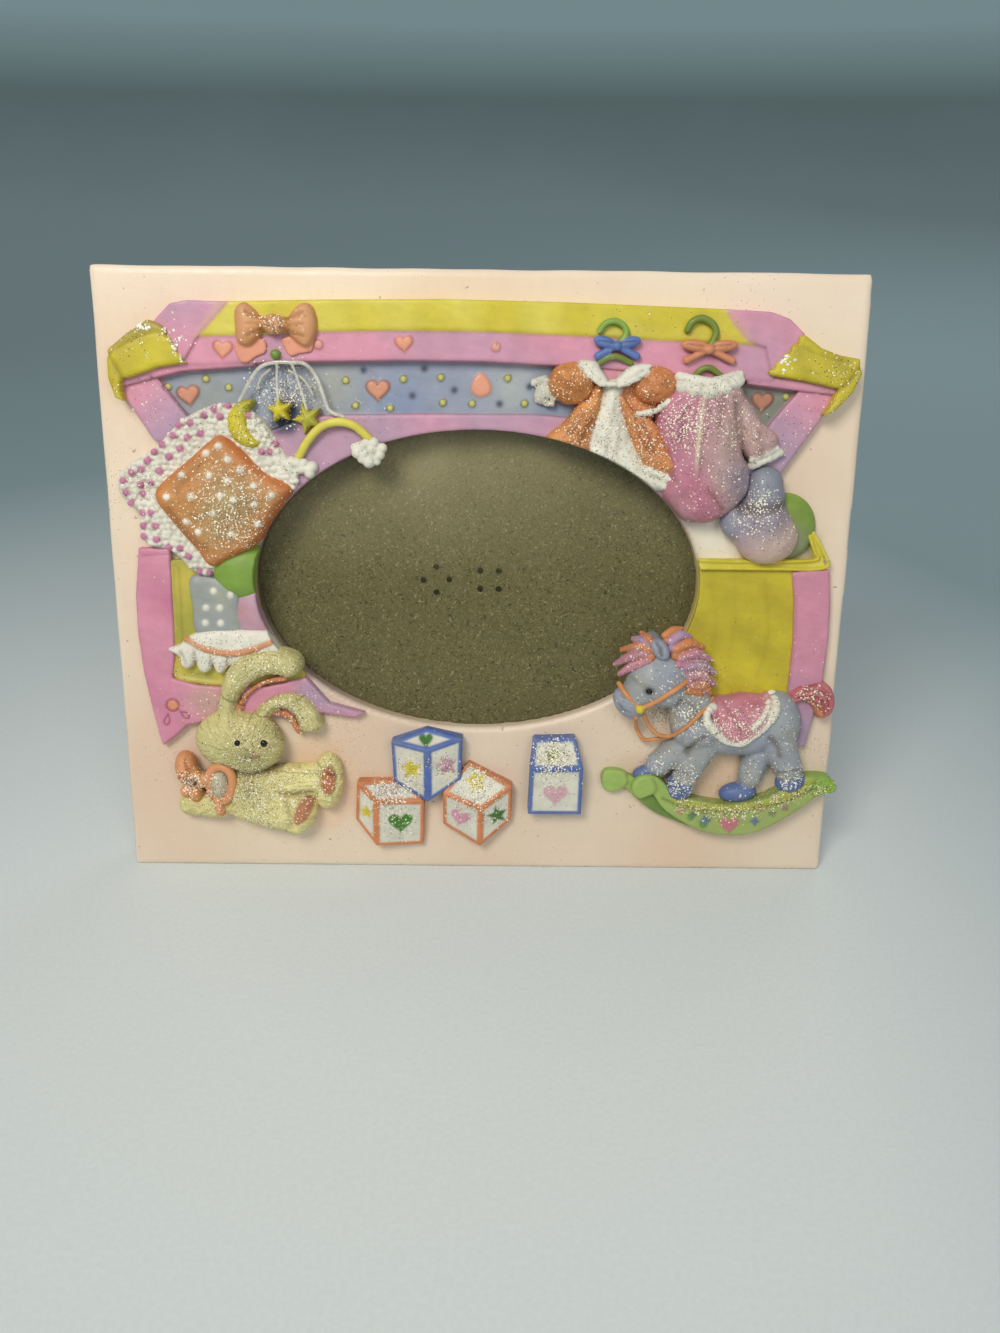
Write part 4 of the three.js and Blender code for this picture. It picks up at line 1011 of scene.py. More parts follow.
# Hearts by place, size, turn and height, with a painted shade that darkens the ones on the lining
for u, v, size, turn, top, shade in (
        (-63.5, 137.2, 4.4, -4, ON_BORDER, 1.0), (-19, 139, 4.0, 3, ON_BORDER, 1.0),
        (-72.6, 126.2, 5.2, 8, ON_LINING, 0.8), (-25.6, 128, 5.4, 0, ON_LINING, 0.85),
        (70, 126.2, 5, 0, ON_LINING, 0.62)):
    # The border's hearts have a deeper pink outline; the dull rim round each lining heart is painted shade
    rim = linear(182, 100, 106) if top == ON_BORDER else linear(150, 122, 112)
    lid_paint.append((area(heart(u, v, 1.2 * size, turn), top), shade * rim, 0.3))
    lid_paint.append((area(heart(u, v, size, turn), top), shade * HEART, 0.25))
    lid_parts.append((slab(heart(u, v, size, turn), top, 0.2), shade * HEART))
for u, v in ((-40, 138.4), (3.6, 138.3)):
    lid_parts.append((slab(disc(u, v, 1.0), ON_BORDER, 0.2), linear(228, 168, 148)))
    lid_paint.append((ring_band(disc(u, v, 1.1, sides=14), ON_BORDER), linear(190, 108, 116), 0.2))
drop = blob([(-0.2, 132), (1.8, 130.2), (2.3, 127.8), (0, 126.6), (-2.2, 127.8), (-1.9, 130.2)])
lid_parts.append((slab(drop, ON_LINING, 0.25), HEART))
for u, v in ((-77.5, 128), (-68, 130), (-62.5, 128), (-33.5, 130), (-31.2, 124), (-22.6, 123.5),
             (-19.2, 130.5), (-10, 131), (-9.5, 125), (-2.2, 124.8), (6.6, 131), (10.8, 125), (75.8, 127.4)):
    lid_parts.append((slab(disc(u, v, 0.72), 1.6, 0.2), linear(206, 202, 96)))
    lid_paint.append((ring_band(disc(u, v, 0.86, sides=14), 1.6, 0.28), linear(92, 100, 88), 0.2))
lid_lines = [
    ([(-81, 130.4), (-75.6, 124.4), (-70.6, 118.2)], 2, 0.3, 0.25),
    ([(-60, 137.2), (-58.5, 134.6), (-55, 135.6), (-52.6, 138)], 4.6, 0.2, 0.15),
]
sculpt("chest_lid", lid_parts, SATIN, blend=0.15, paint=lid_paint, lines=lid_lines, rim=True,
       glitter=[(620, (-49, 127, 5.5), SPARKLE), (30, (-74, 139, 3), FOIL), (30, (40, 148, 12), WARM),
                (50, (-82, 124, 6), SPARKLE), (110, (80, 120, 7), WARM), (60, (-30, 121, 9), WARM)])


def serrated(start, end, teeth, depth):
    """A zigzag from one point to another, like a lace edge."""
    start, end = np.array(start, float), np.array(end, float)
    way = end - start
    side = np.array((-way[1], way[0])) / np.linalg.norm(way)
    steps = np.linspace(0, 1, 2 * teeth + 1)
    return [tuple(start + way * t + side * depth * (i % 2)) for i, t in enumerate(steps)]


left_cap = [(-92.2, 136.6), (-87, 140.6), (-81.8, 143.9), (-79, 143)]
left_cap += serrated((-77, 141.6), (-72.4, 133.8), 4, -0.9)
left_cap += [(-80, 132.6), (-88.6, 129.6), (-89.6, 127.6), (-89, 124.4), (-91, 125.2), (-92.4, 130)]
sculpt("lid_cap_left", [(slab(corners(left_cap), 6.2, 1.0), airbrush(YELLOW, OCHRE, 31, 12, 0.3))],
       SATIN, blend=0.2,
       paint=[(area(corners([(-91.5, 136.6), (-80, 141.4), (-75, 140.4), (-78, 144), (-83, 145),
                             (-92, 138.6)]), 6.2), linear(176, 158, 66), 0.8)],
       lines=[([(-92, 136), (-89, 130.6), (-88.6, 129)], 6, 0.5, 0.3),
              ([(-91.5, 135.5), (-86, 138.6), (-80, 140.7), (-75.5, 139.5)], 6, 0.3, 0.2)],
       glitter=[(26, (-76.6, 141.2, 0.8), FOIL), (34, (-75, 139.2, 0.8), FOIL), (38, (-73.8, 137, 0.8), FOIL),
                (28, (-72.8, 135, 0.7), FOIL), (34, (-82, 141.8, 1.6), FOIL), (90, (-84, 141.4, 5), WARM),
                (40, (-91, 128, 4), WARM)])
right_cap = [(79.4, 142.2), (84, 139), (88.6, 137.4), (93.6, 136.6), (94.4, 133), (92.6, 128.6), (88.4, 124),
             (85.4, 122.6), (87.4, 125.6), (88.6, 129.4), (80, 131.2), (71.6, 132.4)]
right_cap += serrated((71, 133.6), (78, 141.6), 4, -0.9)
sculpt("lid_cap_right", [(slab(corners(right_cap), 6.2, 1.0), airbrush(YELLOW, OCHRE, 32, 12, 0.35))],
       SATIN, blend=0.2,
       lines=[([(94, 135), (91, 131), (88.8, 129)], 6, 0.5, 0.3),
              ([(78, 139.4), (84, 137), (91, 135.6)], 6, 0.35, 0.15)],
       glitter=[(160, (88, 134, 6), WARM), (30, (74, 136, 2), FOIL), (60, (89, 126, 4), WARM)])

side_ring = corners([(-87.8, 88), (-89.4, 76), (-89.6, 66), (-88.8, 55), (-87.2, 45), (-85.2, 34.6),
                     (-81.5, 37.3), (-78, 40.6), (-72, 41.6), (-60, 42.5), (-50, 43.4), (-42, 44.2),
                     (-33, 43), (-30.5, 44.4), (-40, 47), (-46, 54), (-56, 51.6), (-68, 51.2), (-75, 51.7),
                     (-81.2, 53.4), (-80.3, 60), (-80, 70), (-79.8, 88)])
KNOB = (-81.6, 46.1)
DROPS = [looped(ring) for ring in ([(-83, 43.6), (-84.2, 41.6), (-83.6, 40.6), (-82.7, 41.6)],
                                   [(-79.8, 44.4), (-78.6, 42.6), (-77.4, 42.8), (-78, 44)])]
sculpt("chest_side_left", [
    (slab(side_ring, 2.8, 0.7), airbrush(0.94 * PINK, ROSE, 41, 20, 0.25)),
    (slab(disc(*KNOB, 1.35), 3.15, 0.3), SALMON),
], SATIN, blend=0.15, rim=True,
    paint=[(area(blob([(-72, 52), (-66, 46), (-73, 43), (-77, 48)]), 2.8), linear(196, 158, 150), 4),
           (ring_band(disc(*KNOB, 1.6, sides=14), 2.8), linear(178, 90, 96), 0.25),
           *((stripe(drop, 2.8, 0.22), linear(176, 82, 128), 0.25) for drop in DROPS),
           (area(blob([(-46, 54), (-36, 49), (-30, 45), (-42, 44.6), (-50, 46)]), 2.8), LAVENDER, 4)],
    lines=[(disc(*KNOB, 1.75, sides=12), 2.8, 0.25, 0.25), *((drop, 2.8, 0.22, 0.25) for drop in DROPS),
           ([(-80.4, 86.4), (-86.6, 86)], 2.8, 0.3, 0.15)],
    glitter=[(70, (-72, 45, 6), WARM), (24, (-86, 60, 14), DUST), (90, (-44, 46, 7), WARM)])
sculpt("chest_panel_left", [
    (slab(corners([(-80.4, 85), (-72, 85.5), (-60, 84), (-46, 60), (-46, 52), (-56, 51.8), (-68, 51.3),
                   (-75, 51.9), (-81, 53.6), (-80.2, 60)]), 1.6, 0.3),
     airbrush(linear(204, 188, 82), OLIVE, 42, 16, 0.25)),
    (rope([(-79.6, 84, 1.4), (-79.7, 70, 1.4), (-80.4, 55.4, 1.4), (-74, 52.9, 1.4), (-66, 52.2, 1.4)], 0.7),
     linear(196, 184, 84)),
], SATIN, blend=0.3, rim=True,
    lines=[([(-77.6, 83), (-77.8, 66), (-78.6, 56.4), (-72, 54.4)], 1.6, 0.35, 0.15)],
    glitter=[(50, (-78, 56, 6), WARM)])

sculpt("chest_front_right", [
    (slab(corners([(52, 84.6), (81.6, 84.6), (82.6, 76), (83.3, 65), (83, 51), (70, 49.4), (58, 50),
                   (48, 60)]), 1.6, 0.4), airbrush(YELLOW, OCHRE, 43, 15, 0.5)),
    (slab(corners([(54, 84.2), (89.3, 84.6), (88.2, 89.4), (85.5, 94), (84.2, 93), (86, 89), (86.2, 86.9),
                   (54, 86.7)]), 2.4, 0.4), STRAW),
    (rope([(55, 86.4, 2.5), (70, 86.2, 2.7), (86.2, 86.7, 2.7), (86, 89, 2.7), (84.4, 93, 2.5)], 0.45),
     YELLOW),
    (rope([(55, 84.4, 2.5), (75, 84.4, 2.7), (89.2, 84.8, 2.7), (88.1, 89.4, 2.7), (85.4, 93.8, 2.5)], 0.5),
     YELLOW),
], SATIN, blend=0.25, rim=True,
    lines=[([(60, 80), (62, 70), (61, 58)], 1.6, 0.5, 0.08), ([(74, 81), (76, 68), (74, 56)], 1.6, 0.6, 0.08),
           ([(66, 82), (67, 72), (66, 63)], 1.6, 0.5, 0.06)],
    glitter=[(60, (63, 54, 6), WARM), (30, (76, 62, 10), DUST)])
sculpt("chest_post_right", [
    (slab(corners([(80.9, 83.4), (84, 84.3), (90.6, 84.3), (91.5, 76), (91.9, 66), (91.3, 54), (90, 46.5),
                   (88, 36.2), (83, 35.8), (83.5, 46), (82.2, 52), (82.6, 65), (82, 76)]), 2.8, 0.7),
     fade(0.9 * PINK, 0.9 * LAVENDER, (87, 62), (86, 40))),
], SATIN, blend=0.2, lines=[([(81.6, 82), (82.4, 76), (83, 65), (82.6, 53)], 2.8, 0.3, 0.15)],
    glitter=[(70, (87, 62, 12), DUST)])


# Ribbon bow and mobile on the lid

left_loop = blob([(-60.2, 146.9), (-57.6, 148.2), (-54.2, 145.2), (-52.6, 143.2), (-54, 140.8),
                  (-57.2, 137.9), (-60, 138.9), (-60.6, 143)])
right_loop = blob([(-47.2, 145.3), (-44.2, 148.1), (-41.4, 147.5), (-40.2, 143.4), (-41.4, 139.2),
                   (-43.6, 137.8), (-46.8, 140.2), (-48.6, 142.8)])
BOW, TAILS = linear(218, 160, 112), linear(232, 156, 128)
sculpt("lid_bow", [
    (dome(left_loop, 5.6, 7.8, 4, 0.8), fade(ORANGE, BOW, (-52, 143), (-57, 144))),
    (dome(right_loop, 5.6, 7.8, 4, 0.8), fade(ORANGE, BOW, (-49, 143), (-44, 144))),
    (limb((-53.4, 143.2, 6), (-48, 143, 6), 1.8, 1.8), ORANGE),
    (ball((-50.6, 143, 6.6), (2.6, 2.4, 1.9)), BOW),
    (slab(blob([(-60.2, 138.8), (-59.6, 134.4), (-57.6, 134), (-55.4, 135.4), (-53, 136.6), (-53.6, 139.6)]),
          5.3, 0.4), TAILS),
    (slab(blob([(-48.8, 139.8), (-47.2, 135.8), (-44.8, 136.2), (-41.6, 137), (-42, 139.8)]), 5.3, 0.4),
     TAILS),
], RESIN, blend=0.5, step=FINE, crisp=0.3,
    lines=[([(-52.4, 143.8), (-55, 144.9), (-57.4, 146)], 7.6, 0.45, 0.28),
           ([(-52.4, 142.6), (-55, 141.4), (-57.2, 140.4)], 7.6, 0.4, 0.25),
           ([(-54, 143.2), (-57.4, 143)], 7.8, 0.35, 0.15),
           ([(-48.8, 143.8), (-46, 145), (-43.6, 146)], 7.6, 0.45, 0.28),
           ([(-48.8, 142.2), (-46, 141), (-43.6, 140.2)], 7.6, 0.4, 0.25),
           ([(-47, 143), (-43.6, 143)], 7.8, 0.35, 0.15),
           ([(-50.6, 145.4), (-50.9, 143), (-50.5, 140.8)], 8.2, 0.25, 0.25)],
    glitter=[(170, (-50.6, 143.2, 3.2), SPARKLE), (60, (-50, 144, 8), WARM)])

arch = [(-60, 124.7, 4.2), (-57.3, 129.3, 4.6), (-54.7, 132.7, 4.8), (-51.3, 134, 4.9), (-46.7, 134.1, 4.9),
        (-43.3, 133.7, 4.8), (-40.7, 130.7, 4.6), (-39, 126, 4.4), (-37.7, 122.7, 4.4), (-34.3, 121.3, 4.4)]
sculpt("mobile_strings", [
    (rope(arch, 0.5), WHITE),
    (rope([(-50.3, 133.3, 4.6), (-50.5, 129, 4.3), (-50.3, 124, 4.6)], 0.38), WHITE),
    (rope([(-46.7, 134, 4.6), (-45, 129, 4.3), (-43.3, 122.7, 4.6)], 0.38), WHITE),
    (rope([(-55.6, 127.6, 2.6), (-54.2, 130.6, 3.2), (-52, 132.4, 3.6)], 0.36), WHITE),
    (rope([(-47.4, 132.2, 3.6), (-43.8, 130, 3.2), (-41.6, 126.4, 2.6)], 0.36), WHITE),
], CLEAR, blend=0.4, step=FINE)
sculpt("mobile_knob", [(ball((-50.5, 136, 5), (1.3, 1.2, 1.5)), 0.8 * GREEN)], RESIN,
       step=FINE, replaces=False)

crescent = blob([(-56.6, 125.2), (-60, 124.8), (-62.6, 122.6), (-63.5, 119.6), (-62.8, 116.6), (-61, 114.4),
                 (-57.6, 113.2), (-55, 114.4), (-56.6, 116), (-57.9, 118.2), (-58.2, 120.4), (-57.6, 122.8)])
STARS = airbrush(YELLOW, OLIVE, 51, 9, 0.1)
sculpt("moon", [(dome(crescent, 3.6, 5.6, 2.2, 0.6), STARS)], RESIN, step=FINE,
       glitter=[(150, (-60.5, 116, 4), WARM), (50, (-60, 122, 4), WARM)])
for name, u, v, radius, turn in (("star_left", -50.3, 122.7, 3.5, 8), ("star_right", -43.3, 120.7, 4.1, 22)):
    sculpt(name, [(dome(star(u, v, radius, 0.48, turn), 3.8, 5.6, 1.8, 0.35), STARS)], RESIN,
           step=FINE, glitter=[(40, (u, v, 4), WARM)])
sculpt("rainbow", [
    (rope([(-45.7, 111.3, 3.2), (-43.3, 115.3, 4), (-40, 118.7, 4.4), (-36, 120, 4.6), (-32, 119.3, 4.4),
           (-29.3, 117.3, 4), (-27.7, 115.7, 3.6)], 1.05), STRAW)], RESIN, step=FINE)


def cloud(name, puffs, seed):
    """A heap of puffs, each made of a few lumps of uneven size."""
    beside = ((0, 0), (0.9, 0.7), (-0.9, 0.5), (0.2, -1))
    lumps = [(u + du, v + dv, h) for u, v, h in puffs for du, dv in beside]
    sizes = np.random.default_rng(seed).uniform(1.0, 1.55, len(lumps))
    sculpt(name, [(ball(p, r * np.array((1, 0.95, 1.05))), WHITE) for p, r in zip(lumps, sizes)],
           LACE, blend=0.25, step=FINE, glitter=[(40, (*puffs[0][:2], 5), SPARKLE)])


cloud("cloud_left", [(-50.3, 108.3, 3.2), (-47.3, 107.3, 3.4), (-43.3, 108.3, 3.2), (-45.3, 109.3, 3.6),
                     (-48.4, 109.4, 3.6)], 54)
cloud("cloud_right", [(-30.7, 113.4, 3.2), (-27.7, 114.4, 3.6), (-25.6, 113.1, 3.4), (-28.3, 111.2, 3.4),
                      (-30, 112, 3.4), (-26.3, 111.4, 3.2)], 55)


# Clothes on their hangers, the stuffed sock and the ball behind it

def bow(u, v, width, height, tint, turn, z=6.0):
    """A small tied ribbon: two loops, two tails and a knot."""
    w = width / 2
    tail = 0.52 * height
    return every([
        ball((u - 0.52 * w, v + 0.18 * height, z), (0.5 * w, 0.3 * height, 1.4), -turn),
        ball((u + 0.52 * w, v + 0.18 * height, z), (0.5 * w, 0.3 * height, 1.4), turn),
        limb((u, v, z), (u - 0.8 * w, v - tail, z - 0.4), 0.7, 0.95),
        limb((u, v, z), (u + 0.85 * w, v - tail, z - 0.4), 0.7, 0.95),
        ball((u, v, z + 0.5), (0.17 * w + 0.3, 0.24 * height, 1.2)),
    ], tint)


def bow_lines(u, v, width, height, z=6.8):
    """The creases in a tied ribbon's loops."""
    w = width / 2
    return [([(u + s * 0.2 * w, v + 0.16 * height), (u + s * 0.8 * w, v + 0.24 * height)], z, 0.28, 0.3)
            for s in (-1, 1)]


def hanger(name, ribbon, tint, turn, hook, hook_tint, bar):
    """A coat hanger of wire with a tied ribbon: its hook, with a radius, and its bar."""
    sculpt(name, bow(*ribbon, tint, turn) + [(rope(*hook), hook_tint), (rope(bar, 0.75), OLIVE)],
           RESIN, blend=0.3, step=FINE, lines=bow_lines(*ribbon))


hanger("dress_hanger", (33.3, 138.9, 11.6, 4.6), linear(98, 124, 186), 14,
       ([(29, 142.4, 5.7), (30.2, 144, 6), (32.6, 144.7, 6.1), (34.9, 143.5, 6), (35.4, 141.6, 6),
         (34, 139.6, 6)], 0.8), GREEN,
       [(28.8, 134.6, 5), (31, 136, 5.6), (33.4, 136.4, 5.8), (36.8, 135, 5)])
hanger("romper_hanger", (56, 138.3, 13.6, 4.8), linear(216, 144, 106), 6,
       ([(50.4, 142.8, 5.7), (51.6, 144.8, 6), (54, 145.6, 6.1), (56.6, 144.2, 6), (57.4, 142, 6),
         (56.4, 139.6, 6)], 0.85), OLIVE,
       [(52.4, 131.6, 5), (54.2, 133.5, 5.6), (56.4, 134, 5.8), (59.2, 132.2, 5)])

ORANGES = airbrush(linear(230, 156, 90), RUST, 62, 9, 0.6)
REDS = airbrush(linear(214, 132, 76), linear(222, 150, 94), 63, 8, 0.4)
skirts = [
    dome(blob([(28.6, 130), (26.6, 126.6), (24.2, 125), (21.6, 121.4), (17, 117.6), (15, 113), (27, 110),
               (28, 116.4), (29.4, 122), (30.4, 128)]), 3.6, 7.0, 5, 0.8),
    dome(blob([(34.2, 128), (36.6, 126), (39, 123), (41.4, 122.6), (44.4, 120), (47.8, 114.8), (52, 108.8),
               (49, 107.4), (44.6, 108.4), (41.2, 110.2), (38.8, 114), (36.4, 119.6), (34.8, 124)]),
         4, 7.8, 5, 0.8),
    dome(blob([(30.4, 130.6), (35, 130.6), (35.4, 125.2), (37.2, 118.8), (40, 113.4), (43, 110), (47, 108.4),
               (52, 107.4), (50, 103), (44, 104), (36, 102), (26, 108), (26.6, 116.6), (28.8, 122.6),
               (30, 127)]), 3.4, 6.3, 5, 0.6),
    ball((22.3, 130, 3.2), (5.7, 5.2, 5.2)),
    ball((43, 129.7, 3.2), (5.5, 4.7, 5.2), 8),
]
collars = [
    dome(blob([(24.2, 135.4), (28.2, 135.4), (29.8, 133.4), (31.8, 130.2), (29.6, 129.6), (27, 131.4),
               (25, 133.4)]), 6, 7.6, 2.5, 0.7),
    dome(blob([(33, 130.2), (35.6, 133.2), (38.4, 134.8), (42.4, 134.6), (41, 132.8), (38, 130.6),
               (35, 129.4)]), 6, 7.6, 2.5, 0.7),
]
sculpt("dress", list(zip(skirts, (ORANGES, REDS, WHITE, ORANGES, REDS))) + every(collars, WHITE) + [
    (slab(blob([(40.4, 109.6), (46, 107.6), (53.6, 105.2), (52, 103.4), (45, 104.4), (39, 107)]), 4.8, 0.6),
     WHITE),
    (ball((15.6, 127.8, 2.2), (2.2, 3.2, 1.8), -35), CHALK),
    (slab(blob([(27.6, 130.4), (38.8, 130.6), (43.6, 126), (43, 122), (38, 117), (30, 117), (25.6, 123)]),
          3.6, 0.8), REDS),
    (slab(blob([(28.6, 135), (38.6, 134.8), (36.6, 131.4), (33.2, 129.8), (30.2, 131.4)]), 3.4, 0.4),
     linear(216, 150, 168)),
] + beads([(41, 109.6, 5.2), (44.6, 108.2, 5.6), (48.6, 106.6, 5.6), (53.4, 105, 4.8)], 1.0, 1.5, WHITE)
    + beads([(43, 106.4, 4.8), (47.6, 104.8, 5), (52.6, 103.8, 4.6)], 1.0, 1.6, WHITE)
    + beads([(39, 122.8, 6.2), (43, 123.4, 6.2), (47, 126, 5.6), (49.8, 127.4, 4.8)], 0.9, 1.35, WHITE)
    + beads([(12.6, 130, 1.8), (16.4, 130.8, 2.8), (18, 127, 3.4), (17, 124.6, 2.8), (15.6, 126.4, 2.6)],
            0.9, 1.4, CHALK)
    + beads([(24.4, 134.6, 6.6), (26.8, 132, 7), (29.4, 130, 7.2), (32, 129.8, 7.2)], 0.7, 1.1, WHITE)
    + beads([(32.8, 129.8, 7.2), (35.2, 129.8, 7.2), (38.4, 131.2, 7), (41.6, 133.4, 6.4)], 0.7, 1.1, WHITE),
    KNIT, blend=0.28, rim=True, crisp=0.16, ripple=ripples(61, 2.2, 0.12),
    lines=[([(25, 122), (22.5, 118)], 6, 0.7, 0.35), ([(40.6, 120.6), (43.6, 113)], 7, 0.7, 0.45),
           ([(38.6, 122), (40, 117), (42.4, 113.4)], 7, 0.5, 0.35),
           ([(27.6, 121), (25, 115.6)], 6, 0.6, 0.35), ([(33.4, 124), (31.6, 113)], 6.4, 0.6, 0.2),
           ([(35, 120), (34.6, 112), (36, 106)], 6.4, 0.6, 0.18),
           ([(19, 131.4), (22, 129), (25, 128.4)], 8, 0.7, 0.22), ([(20.6, 134), (23, 131.4)], 8, 0.6, 0.2),
           ([(40.4, 131), (43, 129.4), (46.4, 130.2)], 8, 0.7, 0.22),
           ([(42, 126.8), (44.6, 127.6)], 8, 0.6, 0.2)],
    glitter=[(560, (33, 120, 8), SPARKLE), (700, (44, 115, 7), WARM), (420, (24, 120, 6), WARM),
             (240, (42, 130, 6), WARM), (120, (16, 127, 4), SPARKLE), (200, (24, 131, 5), WARM)])

ONESIE = fade(linear(198, 130, 150), MAUVE, (48, 118), (62, 114))
SLEEVE = airbrush(linear(204, 158, 164), linear(202, 174, 168), 64, 12, 0.5)
stuffed = [
    dome(blob([(48.5, 129.6), (45, 125), (44, 120), (45.6, 113), (46.4, 107), (46.6, 102.8), (49.4, 99.2),
               (52.4, 96.4), (56, 95.7), (60, 96.2), (65, 99.4), (68.4, 104), (68.4, 109.5), (66.5, 114),
               (66.6, 121), (65.5, 129), (60, 131.6), (52, 131)]), 4.0, 8.6, 8.0, 1.0),
    dome(blob([(63, 130.2), (66.6, 127), (70.6, 121.5), (74.9, 118), (74.6, 114.5), (70.5, 111.3),
               (67.3, 112.4), (64.2, 119), (62.6, 125)]), 3.4, 7.8, 6.0, 0.8),
]
seam = on(stuffed, [(55.4, 126.4), (54.8, 118), (54.6, 108), (54.8, 99)], 0.05)
sculpt("romper", list(zip(stuffed, (ONESIE, SLEEVE)))
       + [(rope(seam, 0.5), linear(222, 196, 176))]
       + beads([(68.2, 110.4, 4.2), (71.5, 111.8, 4.8), (76, 114.2, 4)], 1.1, 1.45, WHITE)
       + beads([(67.6, 111.6, 5.2), (71, 113, 5.8), (75.4, 115.4, 4.8)], 0.7, 1.2, WHITE)
       + [(ball((u, v, h), (2.2, 1.8, 1.9)), WHITE) for u, v, h in
          ((50.3, 129.7, 6), (53.3, 128.7, 7), (56.7, 128.3, 7.4), (60, 129.3, 7), (63, 131, 6))]
       + [(rope([(49, 131.8, 5.2), (53, 131, 6.4), (57.6, 130.6, 6.6), (63.6, 132.4, 5.2)], 1.3), WHITE)],
       KNIT, blend=0.5, rim=True, crisp=0.16, ripple=ripples(65, 2.4, 0.09),
       paint=[(area(blob([(50, 108), (54, 97), (62, 96), (60, 103), (54, 110)]), 8),
               linear(192, 118, 142), 4),
              (area(blob([(62, 108), (66, 101), (70, 106), (67, 111)]), 7), linear(150, 136, 152), 4)],
       lines=[([(63.4, 127), (64, 121), (66, 114.4), (67.6, 111.4)], 7.4, 0.6, 0.25),
              ([(70, 118.6), (70.6, 112.8)], 7, 0.8, 0.3), ([(46.6, 114), (48.6, 107)], 7, 0.8, 0.35),
              ([(60.4, 127), (59.8, 120)], 8, 0.8, 0.25), ([(51, 124), (50, 116)], 8, 0.7, 0.25),
              ([(58, 104), (62, 99.6)], 8, 0.7, 0.3)],
       glitter=[(620, (49.5, 120, 6), SPARKLE), (420, (56, 124, 7), SPARKLE), (300, (66, 118, 5), WARM),
                (320, (60, 106, 8), WARM), (120, (58, 130, 6), SPARKLE)])

sculpt("sock", [
    (ball((73.3, 92.7, 3), (8.1, 7.1, 5.4)),
     fade(linear(186, 156, 166), linear(212, 184, 168), (66, 98), (76, 90))),
    (limb((72.3, 97, 3), (72, 106, 2.6), 6.4, 4.6), linear(146, 144, 160)),
    (ball((65.8, 96.6, 2.6), (4.6, 4.8, 4.2)), linear(150, 150, 166)),
], RESIN, blend=1.4, crisp=1.2, ripple=ripples(67, 3, 0.06),
    paint=[(area(disc(73, 107.5, 5.5), 5), linear(140, 144, 156), 4)],
    lines=[([(66.5, 99.6), (71, 99.4), (77.4, 100.6)], 6.5, 1.2, 0.7)],
    glitter=[(280, (70, 101.5, 3.6), SPARKLE), (110, (66.5, 97.5, 3), SPARKLE), (200, (75, 94, 6), WARM)])
sculpt("sock_ball", [(ball((77.4, 95.2, 0.4), (8.4, 8.8, 3.6)), airbrush(GREEN, OLIVE, 66, 12, 0.35))],
       RESIN, paint=[(area(disc(80, 90, 5), 2), linear(150, 150, 120), 4)])


# Pillow, and what lies in the chest at the left

spots = ((-66, 113.8), (-63.8, 110.5), (-60.8, 108), (-75.8, 106.5), (-68.6, 106.5), (-64, 105.2),
         (-57.5, 104), (-53.2, 101.7), (-73.4, 101.2), (-57.6, 99.3), (-68, 97), (-75.2, 94.7), (-57, 94.3),
         (-72.3, 92.2), (-63.8, 91.7), (-69.2, 112), (-62.6, 100.4), (-79.8, 101), (-66, 101.6))
pillow_ring = blob([(-65.5, 116.6), (-61, 113.5), (-55, 107.5), (-48, 103.4), (-52, 98), (-58, 89),
                    (-66, 84.5), (-70.3, 83.2), (-74, 88), (-79.5, 94.5), (-83.4, 101), (-81, 105),
                    (-74, 110.6), (-69, 114.8)])
cushion = [dome(pillow_ring, 5.0, 8.4, 15.0, 1.8)]
POLKA = linear(244, 238, 220)
sculpt("pillow", [(cushion[0], airbrush(linear(208, 138, 72), linear(198, 152, 100), 72, 11, 0.4))]
       + [(ball(p, (0.75, 0.75, 0.5)), POLKA) for p in on(cushion, spots, 0.0)],
       KNIT, blend=0.2, rim=True, ripple=ripples(71, 9, 0.16),
       paint=[(area(blob([(-66, 106), (-58, 103), (-58, 95), (-66, 91), (-72, 97)]), 8),
               linear(172, 146, 100), 7),
              (ring_band(pillow_ring[::3], 5, 2.2), linear(204, 112, 56), 2.6)]
       + [(area(disc(u, v, 0.75), 8), POLKA, 0.35) for u, v in spots],
       lines=[([(-77, 103), (-72.5, 107.5), (-66, 112.6)], 7.4, 0.9, 0.22),
              ([(-79.6, 98), (-75.6, 92), (-70.6, 87.6)], 7, 0.9, 0.3)],
       glitter=[(900, (-62, 100, 9), SPARKLE), (420, (-67, 102, 13), WARM), (220, (-59, 92, 5), SPARKLE)])

dots = ((-63, 123.7), (-66.4, 122.8), (-69, 121.3), (-65, 121), (-72.4, 119.4), (-75.3, 118.7), (-70, 116.8),
        (-77, 116.2), (-73.4, 115.7), (-80, 114), (-75.5, 113), (-82, 112.2), (-78.3, 111), (-83.7, 110),
        (-85.4, 107.9), (-81, 107.5), (-88, 107), (-90.3, 105), (-86, 104), (-89.8, 101.9), (-85.5, 101.8),
        (-88.8, 99.4), (-86, 97), (-83.8, 97), (-86, 93.7), (-83, 93.7), (-86, 91), (-82.9, 90.2),
        (-80, 88.2), (-77, 88), (-75, 86), (-72.5, 82), (-69.8, 81.6), (-55, 112.5), (-53, 112.5),
        (-51.5, 114.5), (-58, 121.4), (-83.4, 104.6), (-62, 119.4))
lace_ring = blob([(-60, 124), (-66, 124), (-70.6, 122.4), (-75.4, 119.8), (-79.6, 115.6), (-84.2, 111.8),
                  (-88.6, 109.2), (-91.6, 105.8), (-91.6, 101.6), (-88.8, 98.6), (-86.6, 96.6), (-87.2, 91.8),
                  (-85, 88.6), (-80.4, 87.6), (-77.4, 85.4), (-74.6, 82.4), (-71, 80.6), (-68, 82), (-60, 92),
                  (-49, 101), (-46, 106), (-49, 112), (-52, 117), (-56, 121.6)])


